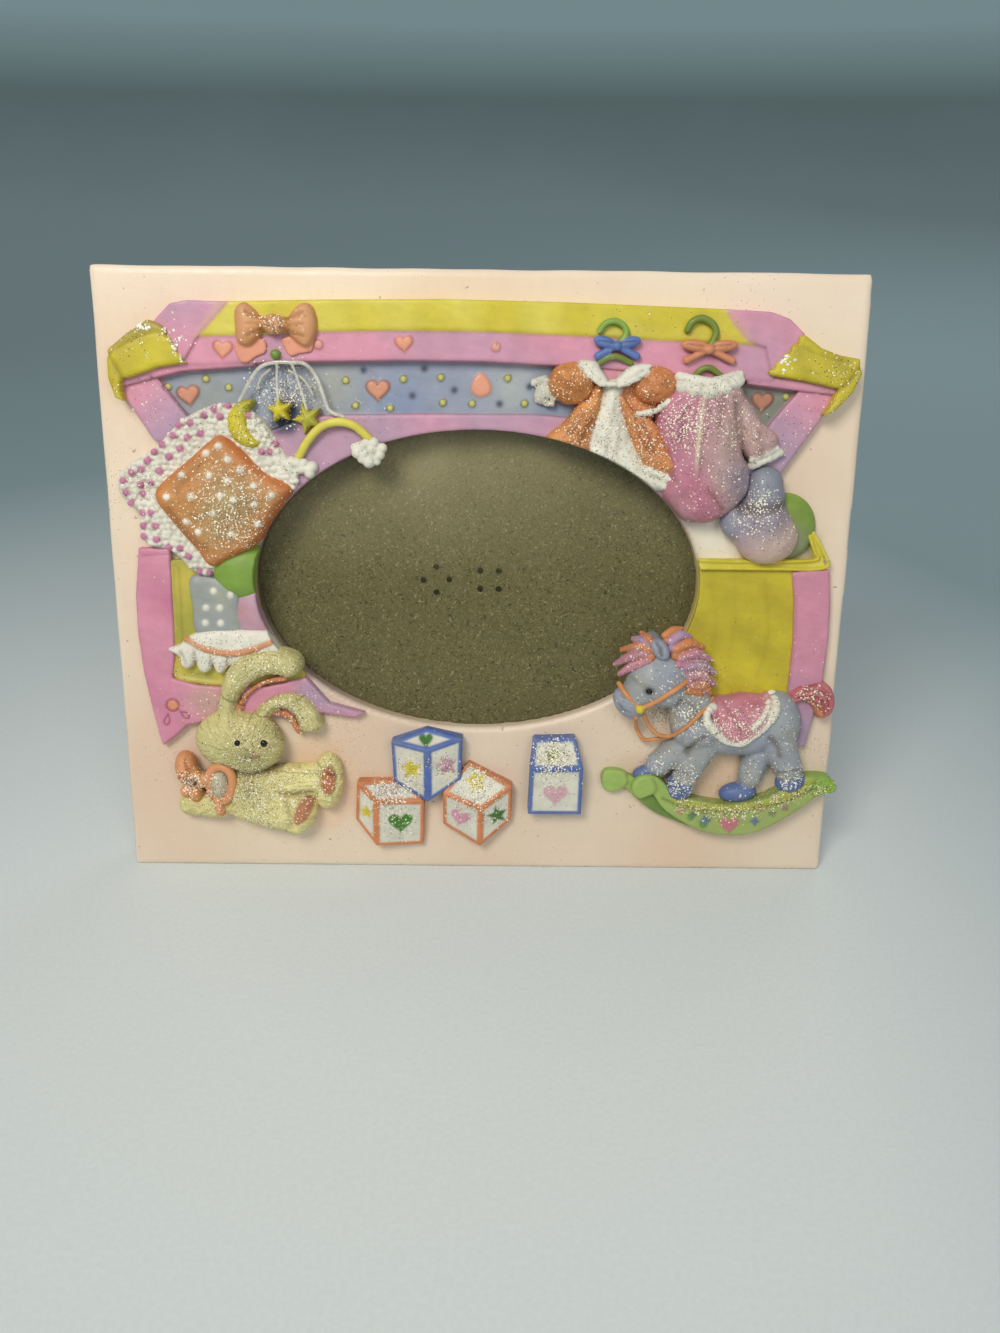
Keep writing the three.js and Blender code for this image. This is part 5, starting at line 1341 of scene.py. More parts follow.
def scatter(ring, hole, gap, seed):
    """Unevenly spread places inside an outline and outside another."""
    u, v = np.meshgrid(*(np.arange(ring[:, k].min(), ring[:, k].max(), gap) for k in (0, 1)), indexing="ij")
    u = u + 0.5 * gap * (np.arange(v.shape[1]) % 2)
    u, v = (a.ravel() + np.random.default_rng(seed + k).uniform(-0.3, 0.3, a.size) * gap
            for k, a in enumerate((u, v)))
    keep = (ring_far(ring, u, v) < -0.4) & (ring_far(hole, u, v) > -1.2)
    return np.column_stack([u, v])[keep]


ROSETTE = linear(198, 126, 160)
loops = scatter(lace_ring, pillow_ring, 1.45, 73)
loop_sizes = np.random.default_rng(74).uniform(0.5, 0.85, len(loops))
sculpt("pillow_lace", [(dome(lace_ring, 2.8, 3.9, 2.5, 0.8), 0.94 * WHITE)]
       + [(ball((u, v, 3.9), (r, r, 0.95 * r)), WHITE) for (u, v), r in zip(loops, loop_sizes)]
       + [(ball((u, v, 4.3), (0.85, 0.8, 0.55)), ROSETTE) for u, v in dots],
       LACE, blend=0.3, rim=True, step=LACE_STEP, crisp=0.1, ripple=ripples(75, 6, 0.2),
       paint=[(area(disc(u, v, 0.85), 4.4), ROSETTE, 0.35) for u, v in dots],
       glitter=[(260, (-84, 103, 6), SPARKLE), (160, (-54, 117, 4), SPARKLE), (160, (-70, 118, 8), WARM)])
sculpt("green_ball",
       [(ball((-61.4, 82.6, 0.4), (8.2, 7.8, 4.8)), airbrush(GREEN, linear(122, 158, 66), 74, 10, 0.4))],
       RESIN, rim=True)
drum_dots = ((-69, 77), (-64.6, 76), (-71.2, 72.6), (-67.6, 72.6), (-71.6, 68.6), (-67.6, 68.6))
sculpt("dotted_drum", [
    (dome(blob([(-74.6, 81), (-64, 79.4), (-62.4, 72), (-63, 65), (-73.6, 65), (-75, 73)]), 2.4, 3.8, 3.0),
     airbrush(linear(154, 160, 166), 0.9 * SAGE, 75, 9, 0.5)),
] + [(ball((u, v, 3.7), (0.85, 0.85, 0.5)), WHITE) for u, v in drum_dots],
    RESIN, blend=0.2, rim=True, step=FINE)
sculpt("pink_ball",
       [(ball((-58.2, 71, 0.4), (6.9, 8.2, 3.6)), airbrush(linear(196, 150, 156), LAVENDER, 76, 8, 0.4))],
       RESIN, rim=True)
sculpt("doll_skirt", [
    (dome(blob([(-82.2, 61.3), (-79.2, 59.2), (-78.9, 57.2), (-77.3, 55.9), (-75.8, 57), (-75.1, 58),
                (-74.2, 55.8), (-72.8, 54.9), (-71.3, 55.8), (-70.6, 57), (-69.6, 55.2), (-68.2, 54.8),
                (-66.6, 56.4), (-64, 57.4), (-58, 58.5), (-51, 61), (-53, 66.2), (-64, 66.8), (-72, 66.4),
                (-76.5, 64.8), (-79, 62.6)], 4), 3.2, 4.8, 3.0), WHITE),
    (rope([(-76.8, 64.2, 4.0), (-72, 61.6, 4.7), (-66, 60.4, 4.9), (-60.4, 61.3, 4.8), (-54, 63.9, 4.4)],
          0.75), linear(216, 148, 104)),
], LACE, blend=0.25, rim=True, step=FINE, ripple=ripples(77, 2, 0.09),
    lines=[([(-78.6, 60.6), (-77.6, 57.4)], 4.6, 0.5, 0.25), ([(-75, 60.4), (-75, 58)], 4.6, 0.45, 0.3),
           ([(-70.8, 59.4), (-70.6, 57)], 4.6, 0.45, 0.3), ([(-66.4, 59.2), (-66.6, 56.6)], 4.6, 0.45, 0.3)],
    glitter=[(280, (-64, 63.6, 8), SPARKLE), (140, (-72, 58.4, 6), SPARKLE)])


# Bunny and its bow

def fur(whorls, rings):
    """The way hair lies, out from the nearest of some whorls or round the nearest of some rings: a field of
    places that changes across the hair."""
    height, ring_handicap, apart = 6.0, 6, 40.0
    middles = np.array([seen((u, v, height))[:2] for u, v in (*whorls, *rings)])

    def flow(u, v):
        u, v = np.broadcast_arrays(u, v)
        best = np.argmin(np.stack([np.hypot(u - mu, v - mv) + (ring_handicap if i >= len(whorls) else 0)
                                   for i, (mu, mv) in enumerate(middles)]), 0)
        du, dv = u - middles[best, 0], v - middles[best, 1]
        r = np.hypot(du, dv) + 0.5
        outward = np.stack((10 * du / r + apart * best, 10 * dv / r, 0.25 * r))
        circling = np.stack((1.3 * r + apart * best, 0 * r, 2.0 * np.arctan2(dv, du)))
        return tuple(np.where(best >= len(whorls), circling, outward))

    return flow


def tufts(flow, seed, width, depth):
    """Ridges of a depth that follow the hair."""
    field = waves(seed, width, 9)
    return lambda u, v, h: depth * field(*flow(u, v)) + 0 * h


LINER = linear(216, 140, 98)
bunny_face = [ball((-66.6, 37.2, 3.8), (9.2, 7.8, 7)), ball((-61.4, 35.6, 4), (9, 8.6, 7.6))]
bunny_rest = [
    dome(blob([(-70.4, 43.6), (-68.7, 51.9), (-65.7, 57.4), (-60.3, 60.8), (-53.7, 61.4), (-49.1, 60.2),
               (-47.1, 57.6), (-48, 54.8), (-50.7, 53.6), (-52.7, 54.1), (-56.6, 54.2), (-60.7, 52.1),
               (-63.5, 49), (-64.8, 46.3), (-65.2, 43.6), (-65, 40), (-70, 40)]), 4.2, 7.2, 4, 1.6),
    dome(blob([(-60.1, 44.4), (-56.9, 47.5), (-52.2, 49.4), (-47.6, 48.7), (-44, 45.6), (-42.1, 41.8),
               (-42.6, 39.3), (-45.3, 38.3), (-47.9, 38.9), (-48.8, 41.4), (-50.4, 44.1), (-53.4, 45.1),
               (-55.4, 43.7), (-57.4, 41), (-61, 40)]), 3.8, 6.6, 4, 1.5),
    ball((-58.6, 22.5, 2.8), (9.6, 8.2, 6.2), -4),
    ball((-55, 19, 2.8), (10, 7.6, 5.8), -10),
    ball((-61, 17.8, 2.6), (8, 4.6, 4.6), -10),
    limb((-71, 18.4, 2.6), (-78.4, 18.2, 2.2), 3.9, 3),
    limb((-54, 25, 3.2), (-44.5, 25.8, 3.0), 5.0, 4.6),
    ball((-40.8, 25.5, 2.4), (4.3, 8.0, 4.8), -3),
    limb((-58, 18, 3), (-50.5, 16.2, 3.4), 5.2, 4.6),
    ball((-48.2, 15.6, 3.2), (3.6, 6.2, 5), -26),
]
liners = [
    slab(blob([(-65, 44.6), (-63.7, 47.6), (-62, 49.8), (-58.8, 52.2), (-55.2, 53.6), (-51, 54.4),
               (-51.6, 53), (-56, 52.2), (-59.6, 50.4), (-62, 48), (-63.4, 45)]), 4.2, 0.6),
    slab(blob([(-55.6, 43.8), (-53.4, 45.2), (-50.3, 44), (-48.8, 41.4), (-47.6, 38.8), (-49, 38.6),
               (-50.2, 41), (-51.6, 42.8), (-53.6, 43.4)]), 3.6, 0.5),
]
hide = fade(FUR, linear(234, 224, 152), (-60, 34), (-52, 20))
strands = fur([(-61.5, 33.5), (-62, 23)], [(-57.5, 47.5), (-51.5, 39)])
sculpt("bunny", every(bunny_face, hide) + every(bunny_rest, hide) + every(liners, LINER)
       + [(ball(on(bunny_face, [(-60.7, 32.3)], -0.1)[0], (1.0, 0.7, 0.5)), linear(200, 160, 126))],
       PLUSH, blend=0.9, crisp=0.2, step=FUR_STEP, flow=strands,
       ripple=tufts(strands, 81, 1.3, 0.1),
       paint=[(area(disc(-40.7, 25.3, 1.9, 2.05), 6.5), linear(196, 122, 78), 0.4),
              (area(disc(-47.7, 16.7, 2.1, 2.1, -28), 7), linear(190, 128, 92), 0.5)],
       lines=[([(-68.6, 28.8), (-62, 27), (-54.4, 28.8)], 7.5, 0.9, 0.7),
              ([(-53.6, 21.6), (-50, 21.2), (-45.6, 22)], 7, 0.8, 0.6),
              ([(-52.2, 19.4), (-51.2, 15), (-51.6, 11.8)], 7, 0.6, 0.3),
              ([(-62.4, 31), (-60.7, 31.6), (-59, 31)], 11, 0.25, 0.2),
              (disc(-40.7, 25.3, 2.1, 2, sides=16), 6.5, 0.3, 0.3)],
       glitter=[(900, (-59, 24, 9), SPARKLE), (700, (-57, 57, 8), SPARKLE), (460, (-60, 41, 8), WARM),
                (460, (-50, 46, 6), SPARKLE), (360, (-57, 16, 8), SPARKLE), (360, (-40.6, 27, 7), SPARKLE),
                (360, (-61, 33, 8), WARM), (160, (-74, 18, 5), WARM)])
eyes = on(bunny_face, [(-64.9, 35.7), (-57.9, 35.7)], -0.1)
sculpt("bunny_eyes", [(ball(p, (r, r, 0.7)), BLACK) for p, r in zip(eyes, (0.85, 1.0))],
       GLOSS, step=EYE_STEP, replaces=False)
PEACHY = linear(222, 154, 104)
sculpt("bunny_bow", [
    (ball((-78.8, 28.6, 3.6), (3.0, 4.9, 4), 8), PEACHY),
    (limb((-77, 27, 4.4), (-74.4, 25.6, 5), 2.2, 1.8), ORANGE),
    (ball((-74.6, 25.2, 5), (2.0, 2.0, 2.8)), PEACHY),
    (ball((-76.6, 21.4, 3.6), (2.0, 2.6, 3), 20), ORANGE),
    (ball((-79, 22.4, 3), (1.8, 2.2, 2.4), -30), PEACHY),
    (rope([(-73.2, 25.4, 5.6), (-72, 28.2, 6), (-69.6, 29, 6.4), (-67.2, 27.2, 6.8), (-66.8, 23.6, 6.8),
           (-68.4, 19.8, 6.2), (-71, 19.4, 5.6), (-72.6, 22, 5.6), (-73.2, 25.4, 5.6)], 1.2), PEACHY),
    (ball((-70, 24.3, 4.6), (2.8, 4.3, 3.2)), linear(190, 184, 160)),
    (ball((-70.4, 17.2, 5.2), (1.4, 2.4, 2.4), 15), PEACHY),
], RESIN, blend=0.35, crisp=0.16, step=FINE,
    lines=[([(-80.6, 25.8), (-77.6, 24.6), (-75.6, 24.8)], 6, 0.45, 0.5),
           ([(-77, 31), (-75.6, 27.4)], 6.6, 0.5, 0.45), ([(-79.4, 30.6), (-78.4, 27)], 7, 0.4, 0.3)],
    glitter=[(560, (-77, 25.4, 3.4), SPARKLE), (100, (-71.6, 19, 3), SPARKLE), (160, (-70, 24, 3), WARM)])


# Toy blocks

def plane_through(a, b, c):
    """Height over the plate of the plane through three points."""
    n = np.cross(b - a, c - a)
    return lambda u, v: a[2] - ((u - a[0]) * n[0] + (v - a[1]) * n[1]) / n[2]


def block(name, outer, edges, planes, height, widths, edge_tint, slot, marks, flakes):
    """A block in relief between planes. Its faces lie a little below their painted borders."""
    sunk, soft, mark_depth = 0.25, 0.12, 1.4

    def border(u, v):
        d = np.abs(ring_far(outer, u, v)) - widths[0]
        for edge, width in zip(edges, widths[1:]):
            d = np.minimum(d, path_far(edge, u, v) - width)
        return d

    def far(u, v, h):
        roof = planes[0](u, v)
        for plane in planes[1:]:
            roof = np.minimum(roof, plane(u, v))
        roof = roof - sunk / (1 + np.exp(-border(u, v) / soft))
        return eased(ring_far(outer, u, v), (h - roof) * 0.85, 0.25)

    borders = over(outer, lambda u, v, h: border(u, v) + 0 * h, 3 * FAR, -FAR)
    sculpt(name, [(over(outer, far, height + 0.3), airbrush(0.9 * WHITE, 0.92 * CHALK, 91, 6, 0.4))],
           RESIN, blend=0.1, step=FINE, ripple=ripples(90, 3, 0.03), glitter=flakes,
           paint=[(area(ring, height - mark_depth), tint, 0.3) for ring, tint in marks]
           + [(borders, edge_tint, 0.22)])


def toy_block(name, corner, near, far, height, drop, widths, *finish):
    """A block with three faces in view, by the corner that faces out, the three corners one edge away from
    it, and the three beyond them."""
    top = seen((*corner, height))
    beside = [seen((*p, height - drop)) for p in near]
    beyond = [seen((*p, height - 2 * drop)) for p in far]
    outer = np.array([p[:2] for pair in zip(beside, beyond) for p in pair])
    edges = [np.array([top[:2], p[:2]]) for p in beside]
    planes = [plane_through(top, beside[i], beside[(i + 1) % 3]) for i in range(3)]
    block(name, outer, edges, planes, height, widths, *finish)


BLUE_EDGE = airbrush(BLUE, DENIM, 92, 6, 0.3)
ORANGE_EDGE = airbrush(linear(212, 136, 90), RUST, 93, 6, 0.25)
toy_block("block_top", (-13.8, 34), [(-23.6, 36.5), (-4.4, 37.6), (-13.8, 19.4)],
          [(-14, 40.4), (-4.7, 26.2), (-22.9, 25.4)], 6.6, 2.0, (1.0, 0.8, 0.8, 1.1), BLUE_EDGE, "blue_resin",
          [(heart(-14.3, 37, 3.8), LEAF), (flower(-18.3, 28.7, 2.9, 6), YELLOW),
           (flower(-8.7, 29.7, 2.9, 14), linear(192, 148, 168))],
          [(200, (-18.4, 29, 3.4), WARM), (200, (-9, 29.6, 3.4), WARM), (110, (-19, 24, 2.4), SPARKLE)])
toy_block("block_left", (-28, 19.2), [(-33, 25), (-14.8, 19.6), (-28, 6.4)],
          [(-20, 26), (-15, 7.2), (-33.5, 14.2)], 6.0, 2.0, (1.0, 0.8, 0.9, 0.9), ORANGE_EDGE, "orange_resin",
          [(heart(-21.4, 13.2, 6.8), linear(64, 128, 44)), (star(-30.7, 16, 2.1, 0.5), YELLOW),
           (disc(-24.4, 22.6, 3.2, 0.55), linear(190, 172, 172))],
          [(620, (-24.4, 22.6, 4.6), SPARKLE), (180, (-21.4, 13.4, 4.6), WARM)])
toy_block("block_right", (0.7, 17.5), [(-9.6, 22.2), (9.2, 24.2), (0.5, 6.6)],
          [(-2.6, 31), (9, 14.6), (-9.6, 13.2)], 6.2, 2.0, (1.0, 0.8, 0.9, 0.9), ORANGE_EDGE, "orange_resin",
          [(flower(-0.7, 25, 3.0, 12), YELLOW), (heart(-5, 14.7, 5.6, -16), linear(208, 152, 174)),
           (star(5.2, 15.4, 3.0, 0.46, 12), linear(58, 116, 44))],
          [(700, (0.2, 24.4, 4.6), SPARKLE), (100, (5.4, 16, 3.4), WARM), (80, (-4.8, 16, 3), WARM)])

ridge_left, ridge_right = seen(((14, 29, 6), (28.3, 29.4, 6)))
block("block_single",
      seen_ring(corners([(13.6, 16), (28.2, 16), (28.3, 29.4), (26.2, 37.8), (14.8, 37.4), (14, 29)]), 5),
      [np.array((ridge_left[:2], ridge_right[:2]))],
      [plane_through(ridge_left, ridge_right, seen((28.2, 16, 4.6))),
       plane_through(ridge_left, ridge_right, seen((26.2, 37.8, 3.6)))],
      6.0, (1.1, 1.0), BLUE_EDGE, "blue_resin",
      [(heart(21, 22.2, 6.8), linear(208, 168, 176)), (flower(20.2, 33.2, 2.4), linear(132, 150, 60))],
      [(900, (20.4, 33.2, 4.2), SPARKLE), (70, (21, 24, 4), WARM)])


# Rocking horse

HIDE = airbrush(GREY, SLATE, 101, 14, 0.35)
HOOF = airbrush(linear(90, 112, 168), DENIM, 102, 5, 0.3)
head = [
    ball((47.6, 55.2, 4.8), (8.6, 8, 6.4)),
    ball((50, 52.5, 4.6), (5.5, 5.5, 5.6)),
    limb((45.5, 54, 5), (41, 49.6, 5), 6.2, 4.2),
    ball((40, 48.2, 4.9), (5, 3.5, 4.2), -45),
]
trunk = [
    limb((55, 51, 3.2), (58.5, 42.5, 3), 5.4, 7.4),
    ball((69, 42.2, 2.8), (15.4, 8.2, 6.6), 2),
    ball((79.6, 43.2, 2.8), (6.4, 8.6, 6.4)),
]
legs = [limb((60, 36.4, 3.6), (56, 28, 4.2), 4.6, 3.4), limb((55, 36.4, 1.8), (48.5, 31, 1.6), 4.2, 3.4),
        limb((80.6, 37.2, 3.6), (84, 30, 4), 5, 3.7), limb((75.2, 35, 1.8), (73.6, 28, 1.8), 3.8, 3.4)]
hooves = [ball((54.7, 24.9, 3.6), (3.7, 4, 3.9), -15), ball((45, 28.6, 1.4), (3.4, 2, 2.4), 15),
          ball((84.6, 26.6, 3.4), (4.1, 3, 3.8), 18), ball((70.6, 23.2, 1.6), (5.2, 2.9, 2.8), 8)]
ear = dome(blob([(45.1, 62.9), (45.1, 64.6), (46.6, 65.6), (48.6, 64.9), (50.2, 62.9), (50.5, 60.6),
                 (49, 59.4), (46.8, 60.2)]), 9, 11.2, 2.5, 0.8)
sculpt("rocking_horse", every(head[:3] + trunk + legs, HIDE) + every(hooves, HOOF)
       + [(head[3], SLATE), (ear, SLATE)],
       RESIN, blend=0.6, crisp=0.16, ripple=ripples(103, 3, 0.07),
       paint=[(area(disc(50, 43, 2.4), 7), linear(184, 172, 142), 3),
              (area(disc(45.3, 51.3, 1.5, 0.8), 10.6), linear(108, 108, 112), 0.5)],
       lines=[([(60.6, 39.4), (58.4, 37.6), (56.4, 33.8)], 8, 0.7, 0.6),
              ([(78.4, 38.8), (80.6, 36), (81.4, 33.4)], 8, 0.7, 0.5),
              ([(54, 48), (57, 47.2), (60, 43)], 9, 0.8, 0.35),
              ([(46.8, 64.4), (47.8, 62.8), (48, 61)], 11, 0.5, 0.6),
              ([(40.6, 54.4), (43, 52.8), (45.6, 52.2)], 10.4, 0.5, 0.2),
              ([(37.6, 47.4), (38.6, 46), (40.4, 45.4)], 8.4, 0.3, 0.3),
              ([(38, 49.8), (38.8, 49.2)], 8.8, 0.35, 0.3),
              ([(52.6, 27.6), (54.8, 28.4), (57.6, 28)], 7.4, 0.35, 0.35),
              ([(81.6, 28.4), (84.6, 29.4), (87.4, 29.6)], 7.4, 0.35, 0.35)],
       glitter=[(480, (57, 46, 4.5), SPARKLE), (150, (51, 55, 5), SPARKLE), (420, (54.6, 26, 4), SPARKLE),
                (300, (85, 27.6, 4), SPARKLE), (120, (68, 36, 8), SPARKLE), (90, (82, 42, 5), SPARKLE),
                (90, (44, 50, 6), WARM), (160, (49, 30, 5), SPARKLE), (120, (73, 26, 5), WARM)])
sculpt("horse_eye", [(ball(on(head, [(45.3, 51.3)], -0.1)[0], (0.95, 0.75, 0.65), -15), BLACK)],
       GLOSS, step=EYE_STEP, replaces=False)

AMBER, LILAC, BLUSH = linear(214, 138, 88), linear(184, 148, 174), linear(202, 140, 158)
locks = [
    ((46, 62.4, 8.2), (43.8, 64.6, 8.2), (41.6, 66.2, 6.6), 1.7, AMBER),
    ((45, 62, 8.4), (42, 64, 7.8), (39.8, 64.4, 6.2), 1.8, LILAC),
    ((45.2, 61.6, 8.6), (41.6, 62, 7.8), (37.6, 61.2, 6), 1.9, AMBER),
    ((44, 60.6, 8.6), (40, 59.4, 7.6), (36.6, 57.4, 6), 1.9, BLUSH),
    ((48.8, 65.8, 8), (51, 67, 7), (53.4, 67.4, 5.6), 1.5, AMBER),
    ((50.4, 64, 8.4), (53, 65.4, 7.2), (55.6, 64.8, 5.6), 1.9, LILAC),
    ((51.6, 62, 8.6), (55.2, 63.2, 7.2), (59, 62, 5.4), 1.9, AMBER),
    ((52.8, 59.6, 8.6), (57, 60.4, 7.2), (60.8, 58.6, 5.4), 2.0, BLUSH),
    ((53.8, 57.2, 8.4), (58, 57.4, 7.2), (62, 55.2, 5.2), 2.0, LILAC),
    ((55.2, 54.8, 8.2), (58.6, 54.6, 7.2), (61.8, 52, 5.2), 2.0, BLUSH),
    ((56, 52.4, 8), (59, 52, 7), (60.8, 49.8, 5.6), 1.9, AMBER),
]
mane = [(limb((44.6, 61, 6), (50, 63.6, 6), 2.4, 2.4), BLUSH),
        (limb((51, 62.4, 5.4), (58, 52, 4.6), 2.8, 2.8), LILAC)]
for *path, r, tint in locks:
    path = np.array(path, float)
    way = path[2, :2] - path[0, :2]
    side = np.array((-way[1], way[0], 0)) / np.hypot(*way)
    for offset, shade in ((0.62, 1.0), (-0.62, 0.82)):
        bent = path + side * offset * r * np.array((0.8, 1.1, 1.25))[:, None]
        mane.append((rope(bent, [0.62 * r, 0.68 * r, 0.36 * r]), shade * tint))
sculpt("horse_mane", mane, RESIN, blend=0.15, step=FINE, crisp=0.12, replaces=False,
       glitter=[(420, (57, 58, 6), WARM), (160, (41, 62, 5), WARM), (160, (60, 58, 4), SPARKLE)])

saddle = wrap(blob([(62.6, 47.8), (64.6, 48.6), (69.6, 49.2), (73.6, 51.4), (77, 52), (78.6, 49), (78, 44.6),
                    (74, 39.4), (69, 37.6), (65, 39.6), (62.6, 43.6)]), trunk, 0.9, 8.8)
trim = [(60.9, 43.7), (63.7, 39.7), (69, 37), (73.7, 39), (78.3, 43.7), (79.3, 47.7), (77.4, 51.6)]
sculpt("horse_saddle", [(saddle, airbrush(SADDLE, linear(208, 150, 160), 104, 6, 0.4))]
       + beads(on(trunk, trim, 0.2), 1.0, 1.1, WHITE) + beads(on(trunk, trim[4:], 0.3), 1.3, 1.4, WHITE)
       + beads(on(trunk, [(62.6, 47.4), (61, 45.2), (61.4, 42.6), (63.4, 40.4)], 0.3), 1.15, 1.3, WHITE)
       + beads(on(trunk, [(76.2, 51.2), (77.2, 48.4), (76.2, 44.6), (73.2, 40.8)], 0.9), 0.75, 1.2, WHITE),
       KNIT, blend=0.25, step=FINE, crisp=0.14, replaces=False, floor=1.5,
       lines=[([(66, 47.6), (68.6, 44), (70, 40.4)], 9, 0.5, 0.2)],
       glitter=[(420, (70, 44, 5), SPARKLE), (240, (78, 46, 3), SPARKLE), (240, (62.4, 43, 3), SPARKLE)])
bridle = [(43, 46.4), (47, 48.4), (51, 51), (54, 53.2), (56.8, 55.8)]
near_rein = [(44, 45), (45.7, 41.7), (48.3, 39.3), (51.7, 39), (55, 41), (59, 45), (62.3, 49.7)]
far_rein = [(42, 44), (42.3, 41), (44.3, 38), (47, 38), (51.7, 38.7)]
sculpt("horse_tack", [
    (rope(on(head, [(37.1, 53.4), (39.2, 50.4), (43, 46.4)], 0.25, 5.5), 0.68), STRAP),
    (rope(on(head + trunk, bridle, 0.3, 5.5), 0.68), STRAP),
    (rope(on(head + trunk, near_rein, 0.25, 4.6), 0.55), STRAP),
    (rope(on(head + trunk, far_rein, 0.25, 2.6), 0.55), STRAP),
    (ball(on(head, [(43, 46.3)], 0.6, 7)[0], (1.25, 1.25, 1.0)), YELLOW),
], RESIN, blend=0.2, step=FINE, replaces=False)
TAIL = airbrush(CRIMSON, linear(212, 134, 134), 105, 5, 0.4)
sculpt("horse_tail", [
    (dome(blob([(83, 50.6), (85, 52.4), (88.3, 53.4), (92.3, 53.8), (94.6, 51.6), (95.4, 48), (94.6, 45.4),
                (92.6, 44), (90.8, 44.4), (89.6, 46.6), (88, 48.2), (86, 48.6), (83.6, 47.8)]),
          3.4, 5.8, 3.4, 1.0), TAIL),
], RESIN, step=FINE, replaces=False,
    paint=[(stripe([(86, 48.8), (89, 48.2), (91.4, 45.2)], 5, 1.6), linear(216, 140, 92), 1.0)],
    lines=[([(85, 51), (89, 52), (92.6, 50.6), (93.6, 46.4)], 5.6, 0.35, 0.45),
           ([(84.6, 49.6), (88.6, 50.4), (91.6, 49), (92.6, 45.2)], 5.6, 0.35, 0.45),
           ([(86, 49), (89.6, 48.6), (91.6, 46)], 5, 0.3, 0.35),
           ([(87, 52.8), (91, 53), (94, 50)], 5, 0.3, 0.3)],
    glitter=[(260, (88, 51, 5), SPARKLE)])

rocker_ring = blob([(44.3, 27.3), (42, 25), (42.2, 22.3), (44.3, 20.7), (47.7, 21.7), (50.3, 18.3),
                    (55, 14.7), (61.7, 11.3), (68.3, 10.3), (75, 10.7), (81.7, 13.7), (88.3, 18.3), (93, 22),
                    (97, 23), (97.7, 25), (95.7, 27.3), (91, 27.7), (88.3, 27), (85, 25), (77.7, 21),
                    (68.3, 19.3), (59, 20.7), (53.7, 22.3), (50.3, 25.7), (47.7, 27.3)])
FACE = linear(158, 174, 100)
rocker_marks = ((55.3, 17.3, 1.1, 20, linear(186, 130, 120)), (58.7, 16.3, 1.2, 0, linear(80, 100, 96)),
                (62.3, 14.7, 1.6, 10, linear(74, 108, 140)), (76, 14.7, 1.3, 0, linear(84, 104, 150)),
                (80.7, 17, 1.1, 20, linear(110, 120, 90)), (84, 18.7, 1.1, 40, linear(150, 110, 110)))
sculpt("near_rocker", [
    (slab(rocker_ring, 5.2, 0.9), fade(ROCKER, FACE, (48, 22), (62, 14))),
    (slab(heart(69, 13.7, 5), 5.5, 0.2), linear(198, 112, 130)),
] + [(slab(flower(u, v, r, turn, 4), 5.4, 0.15), tint) for u, v, r, turn, tint in rocker_marks] + [
    (slab(disc(61.8, 13.6, 1.0), 5.35, 0.15), linear(88, 142, 66)),
    (slab(disc(58.2, 15.6, 0.8), 5.35, 0.15), linear(98, 146, 70))],
    SATIN, blend=0.2, step=FINE,
    paint=[(area(disc(94.4, 25, 4), 5), linear(134, 176, 66), 3), (area(disc(45, 24, 3.4), 5), ROCKER, 2),
           (area(blob([(53, 21.4), (61, 19.8), (69, 19.4), (78, 20.6), (86, 25), (91, 27), (88, 22.6),
                       (80.3, 19.4), (71.7, 17.5), (61.7, 17.9), (55, 19.2)]), 5.2),
            linear(172, 178, 70), 0.8)],
    lines=[([(50.4, 21), (55, 19), (61.7, 17.7), (71.7, 17.3), (80.3, 19.3), (87, 21.7), (92, 24.4)],
            5.2, 0.35, 0.3),
           ([(47.6, 21.8), (48.6, 24), (47.6, 26.6)], 5, 0.4, 0.25),
           ([(91.6, 22), (90.8, 24.6), (92, 27)], 5, 0.4, 0.2)],
    glitter=[(150, (u, v, 2.2), WARM) for u, v in
             ((56, 20.4), (61, 19), (66, 18.4), (71, 18.4), (76, 19.4), (81, 21.4), (86, 24), (93, 25))])
sculpt("far_rocker", [
    (slab(blob([(33.4, 26.6), (34.6, 28.9), (38, 29), (41, 27.7), (46, 24.6), (52, 21), (62, 17), (60, 12.6),
                (53.7, 14.7), (48.3, 17), (43, 21), (41, 23.2), (39.4, 23.8), (37.6, 22.8), (34.4, 23.4)]),
          2.8, 0.7), fade(linear(158, 186, 98), linear(112, 142, 66), (40, 26), (50, 19))),
], SATIN, step=FINE, lines=[([(40.4, 27.6), (40.8, 25.6), (39.6, 23.8)], 2.8, 0.4, 0.25)])


# What is behind keeps the solids' shapes: pane, board, strut, hinge, rivets, buttons and screws

LOOKS = {"glass_pane": GLASS, "backing_board": CHIPBOARD, "easel_strut": STRUT_BOARD}
METAL_EDGE = 0.15 * MM
BOARD_EDGE = 0.4 * MM
for name, node in frame["nodes"].items():
    if node.hide_render:
        continue
    look = LOOKS.get(name) or (BRASSY if name.startswith("turn_button") else STEEL)
    node.data.materials.clear()
    node.data.materials.append(look)
    if name != "glass_pane":
        bevel = node.modifiers.new("worn_edges", "BEVEL")
        bevel.width = METAL_EDGE if look in (STEEL, BRASSY) else BOARD_EDGE
        bevel.segments = 2
        bevel.limit_method = "ANGLE"
        bevel.angle_limit = math.radians(35)


